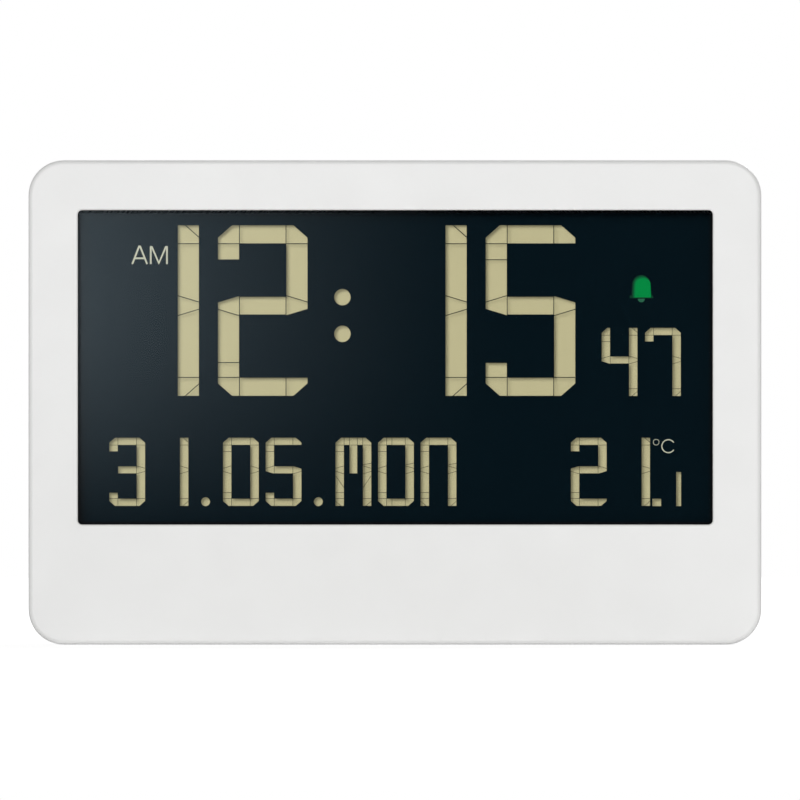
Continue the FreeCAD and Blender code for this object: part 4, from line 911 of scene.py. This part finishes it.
PICTURE_SIZE = PICTURE_SIDE * PIXEL
CENTRE = spot(PICTURE_SIDE / 2, PICTURE_SIDE / 2)
PICTURE_CENTRE = Vector((CENTRE.x, 0, CENTRE.y))
UPRIGHT = (math.radians(90), 0, 0)
CAMERA_AWAY = 8.0
CAMERA_SENSOR = 36
CLIP_START, CLIP_STOP = 0.05, 40
LAMP_TARGET = Vector((0, 0, 76 * MM))
DISPLAY_PARTS = ("lcd_segment_mask", "lcd_reflector", "bell_filter", "lcd_front_glass",
                 "lcd_rear_glass", "display_lens", "morning_sign", "celsius_sign",
                 "weekday_hairlines", "bell_clapper", "mask_patches",
                 *(f"bell_shaded_film_{step + 1}" for step in range(len(BELL_SHADED_FILMS))))


def camera():
    """A camera far in front of the face, whose frame is the photograph's."""
    data = bpy.data.cameras.new("camera")
    data.sensor_width = CAMERA_SENSOR
    data.lens = CAMERA_SENSOR * CAMERA_AWAY / PICTURE_SIZE
    data.clip_start, data.clip_end = CLIP_START, CLIP_STOP
    place = PICTURE_CENTRE + Vector((0, FACE_FRONT - CAMERA_AWAY, 0))
    bpy.context.scene.camera = placed("camera", data, place, UPRIGHT)


def lamp(name, place, wide, tall, power, display=None):
    """A soft light that points at the clock. display says whether it lights only the
    display's parts, or only the others, as flags and snoots do in a studio."""
    data = bpy.data.lights.new(name, "AREA")
    data.shape = "RECTANGLE"
    data.size = wide
    data.size_y = tall
    data.energy = power
    aim = (LAMP_TARGET - Vector(place)).to_track_quat("-Z", "Y").to_euler()
    made = placed(name, data, place, aim)
    if display is None:
        return
    lit = bpy.data.collections.new(name + "_parts")
    for part in DISPLAY_PARTS:
        lit.objects.link(bpy.data.objects[part])
    made.light_linking.receiver_collection = lit
    if not display:
        for link in lit.collection_objects:
            link.light_linking.link_state = "EXCLUDE"


def seen_directly(tree):
    """1 for rays from the camera, in reflections and through clear sheets, else 0."""
    rays = add_node(tree, "ShaderNodeLightPath").outputs
    seen = maths(tree, "MAXIMUM", rays["Is Camera Ray"], rays["Is Glossy Ray"])
    return maths(tree, "MAXIMUM", seen, rays["Is Transmission Ray"])


AMBIENT = 0.3


def world():
    """Surroundings that show white and light the clock only a little."""
    made = bpy.data.worlds.new("studio")
    made.use_nodes = True
    tree = made.node_tree
    strength = add_node(tree, "ShaderNodeMapRange", {
        "Value": seen_directly(tree), "To Min": AMBIENT, "To Max": 1.0})
    background = tree.nodes["Background"]
    background.inputs["Color"].default_value = (1, 1, 1, 1)
    tree.links.new(strength.outputs["Result"], background.inputs["Strength"])
    bpy.context.scene.world = made


def surface_material(name):
    """A material without a shader, its node tree, and the socket for its surface."""
    material = bpy.data.materials.new(name)
    material.use_nodes = True
    tree = material.node_tree
    tree.nodes.remove(tree.nodes["Principled BSDF"])
    return material, tree, tree.nodes["Material Output"].inputs["Surface"]


def square(name, side, cells, material):
    """A flat square of that many cells each way, as an object's data."""
    mesh = bmesh.new()
    bmesh.ops.create_grid(mesh, x_segments=cells, y_segments=cells, size=side / 2)
    return mesh_data(name, mesh, material)


# The table's glow is white times FLOOR_WHITE, FLOOR_GLOW of it near the clock and all of it
# from SHADOW_REACH away.
FLOOR_SIDE = 6.0
FLOOR_DROP = 0.02 * MM
FLOOR_GREY = (0.86, 0.86, 0.86)
FLOOR_WHITE = 1.2
FLOOR_GLOW = 0.74
SHADOW_REACH = 0.7


def floor():
    """A pale table that shows nearly white and keeps the clock's shadow."""
    material, tree, surface = surface_material("floor")
    matt = add_node(tree, "ShaderNodeBsdfDiffuse", {"Color": (*FLOOR_GREY, 1)})
    glow = add_node(tree, "ShaderNodeEmission", {"Strength": FLOOR_WHITE})
    place = add_node(tree, "ShaderNodeTexCoord").outputs["Object"]
    away = add_node(tree, "ShaderNodeVectorMath", {0: place}, operation="LENGTH")
    fade = add_node(tree, "ShaderNodeMapRange", {
        "Value": away.outputs["Value"], "From Max": SHADOW_REACH, "To Min": FLOOR_GLOW},
        interpolation_type="SMOOTHSTEP")
    share = maths(tree, "MULTIPLY", seen_directly(tree), fade.outputs["Result"])
    mix = add_node(tree, "ShaderNodeMixShader", {
        0: share, 1: matt.outputs[0], 2: glow.outputs[0]})
    tree.links.new(mix.outputs[0], surface)
    made = placed("floor", square("floor", FLOOR_SIDE, 2, material), (0, 0, -FLOOR_DROP))


# The card's shine is full up to the first place and gone from the second, across and up,
# in the picture's pixels from its middle.
CARD_AWAY = 1.5
CARD_SIDE = 0.8
SHINE = (0.82, 0.99, 1.11)
SHADE = (0.004, 0.004, 0.004)
SHINE_ACROSS = (-340, 130)
SHINE_UP = (110, -180)


def reflection_card():
    """A dark card in front of the clock, pale at its upper left, that only gloss shows.
    Its glow is laid out in the picture's own pixels, where the display shows it."""
    material, tree, surface = surface_material("reflection_card")
    place = add_node(tree, "ShaderNodeTexCoord").outputs["Object"]
    split = add_node(tree, "ShaderNodeSeparateXYZ", {0: place})
    spread = PIXEL * (1 + CARD_AWAY / CAMERA_AWAY)

    def fall(axis, full, none, kind):
        """1 up to one pixel place, 0 from another."""
        return add_node(tree, "ShaderNodeMapRange", {
            "Value": split.outputs[axis], "From Min": full * spread, "From Max": none * spread,
            "To Min": 1, "To Max": 0}, interpolation_type=kind).outputs["Result"]

    across = maths(tree, "POWER", fall("X", *SHINE_ACROSS, "LINEAR"), 2)
    both = maths(tree, "MULTIPLY", across, fall("Y", *SHINE_UP, "SMOOTHSTEP"))
    glow = add_node(tree, "ShaderNodeEmission", {"Color": mixed(tree, both, SHADE, SHINE)})
    tree.links.new(glow.outputs[0], surface)
    made = placed("reflection_card", square("reflection_card", CARD_SIDE, 1, material),
                  PICTURE_CENTRE + Vector((0, FACE_FRONT - CARD_AWAY, 0)), UPRIGHT)
    for ray in ("camera", "diffuse", "shadow", "transmission", "volume_scatter"):
        setattr(made, "visible_" + ray, False)


def stage():
    """The studio round the clock, with its lamps and camera."""
    world()
    floor()
    reflection_card()
    lamp("display_light", place=(-1.05, -1.7, 1.0), wide=1.3, tall=1.3, power=38.3, display=True)
    lamp("case_light", place=(-0.08, -1.9, 0.12), wide=1.2, tall=0.2, power=19.3, display=False)
    lamp("back_light", place=(0.9, 1.6, 1.3), wide=0.6, tall=0.6, power=24)
    camera()
    bpy.context.scene.view_settings.view_transform = "Standard"


paint_nodes()
round_nodes()
display_signs()
weekday_hairlines()
bell_sign()
mask_patches()
window_gap_fill()
panel_words()
polarity_marks()
stage()
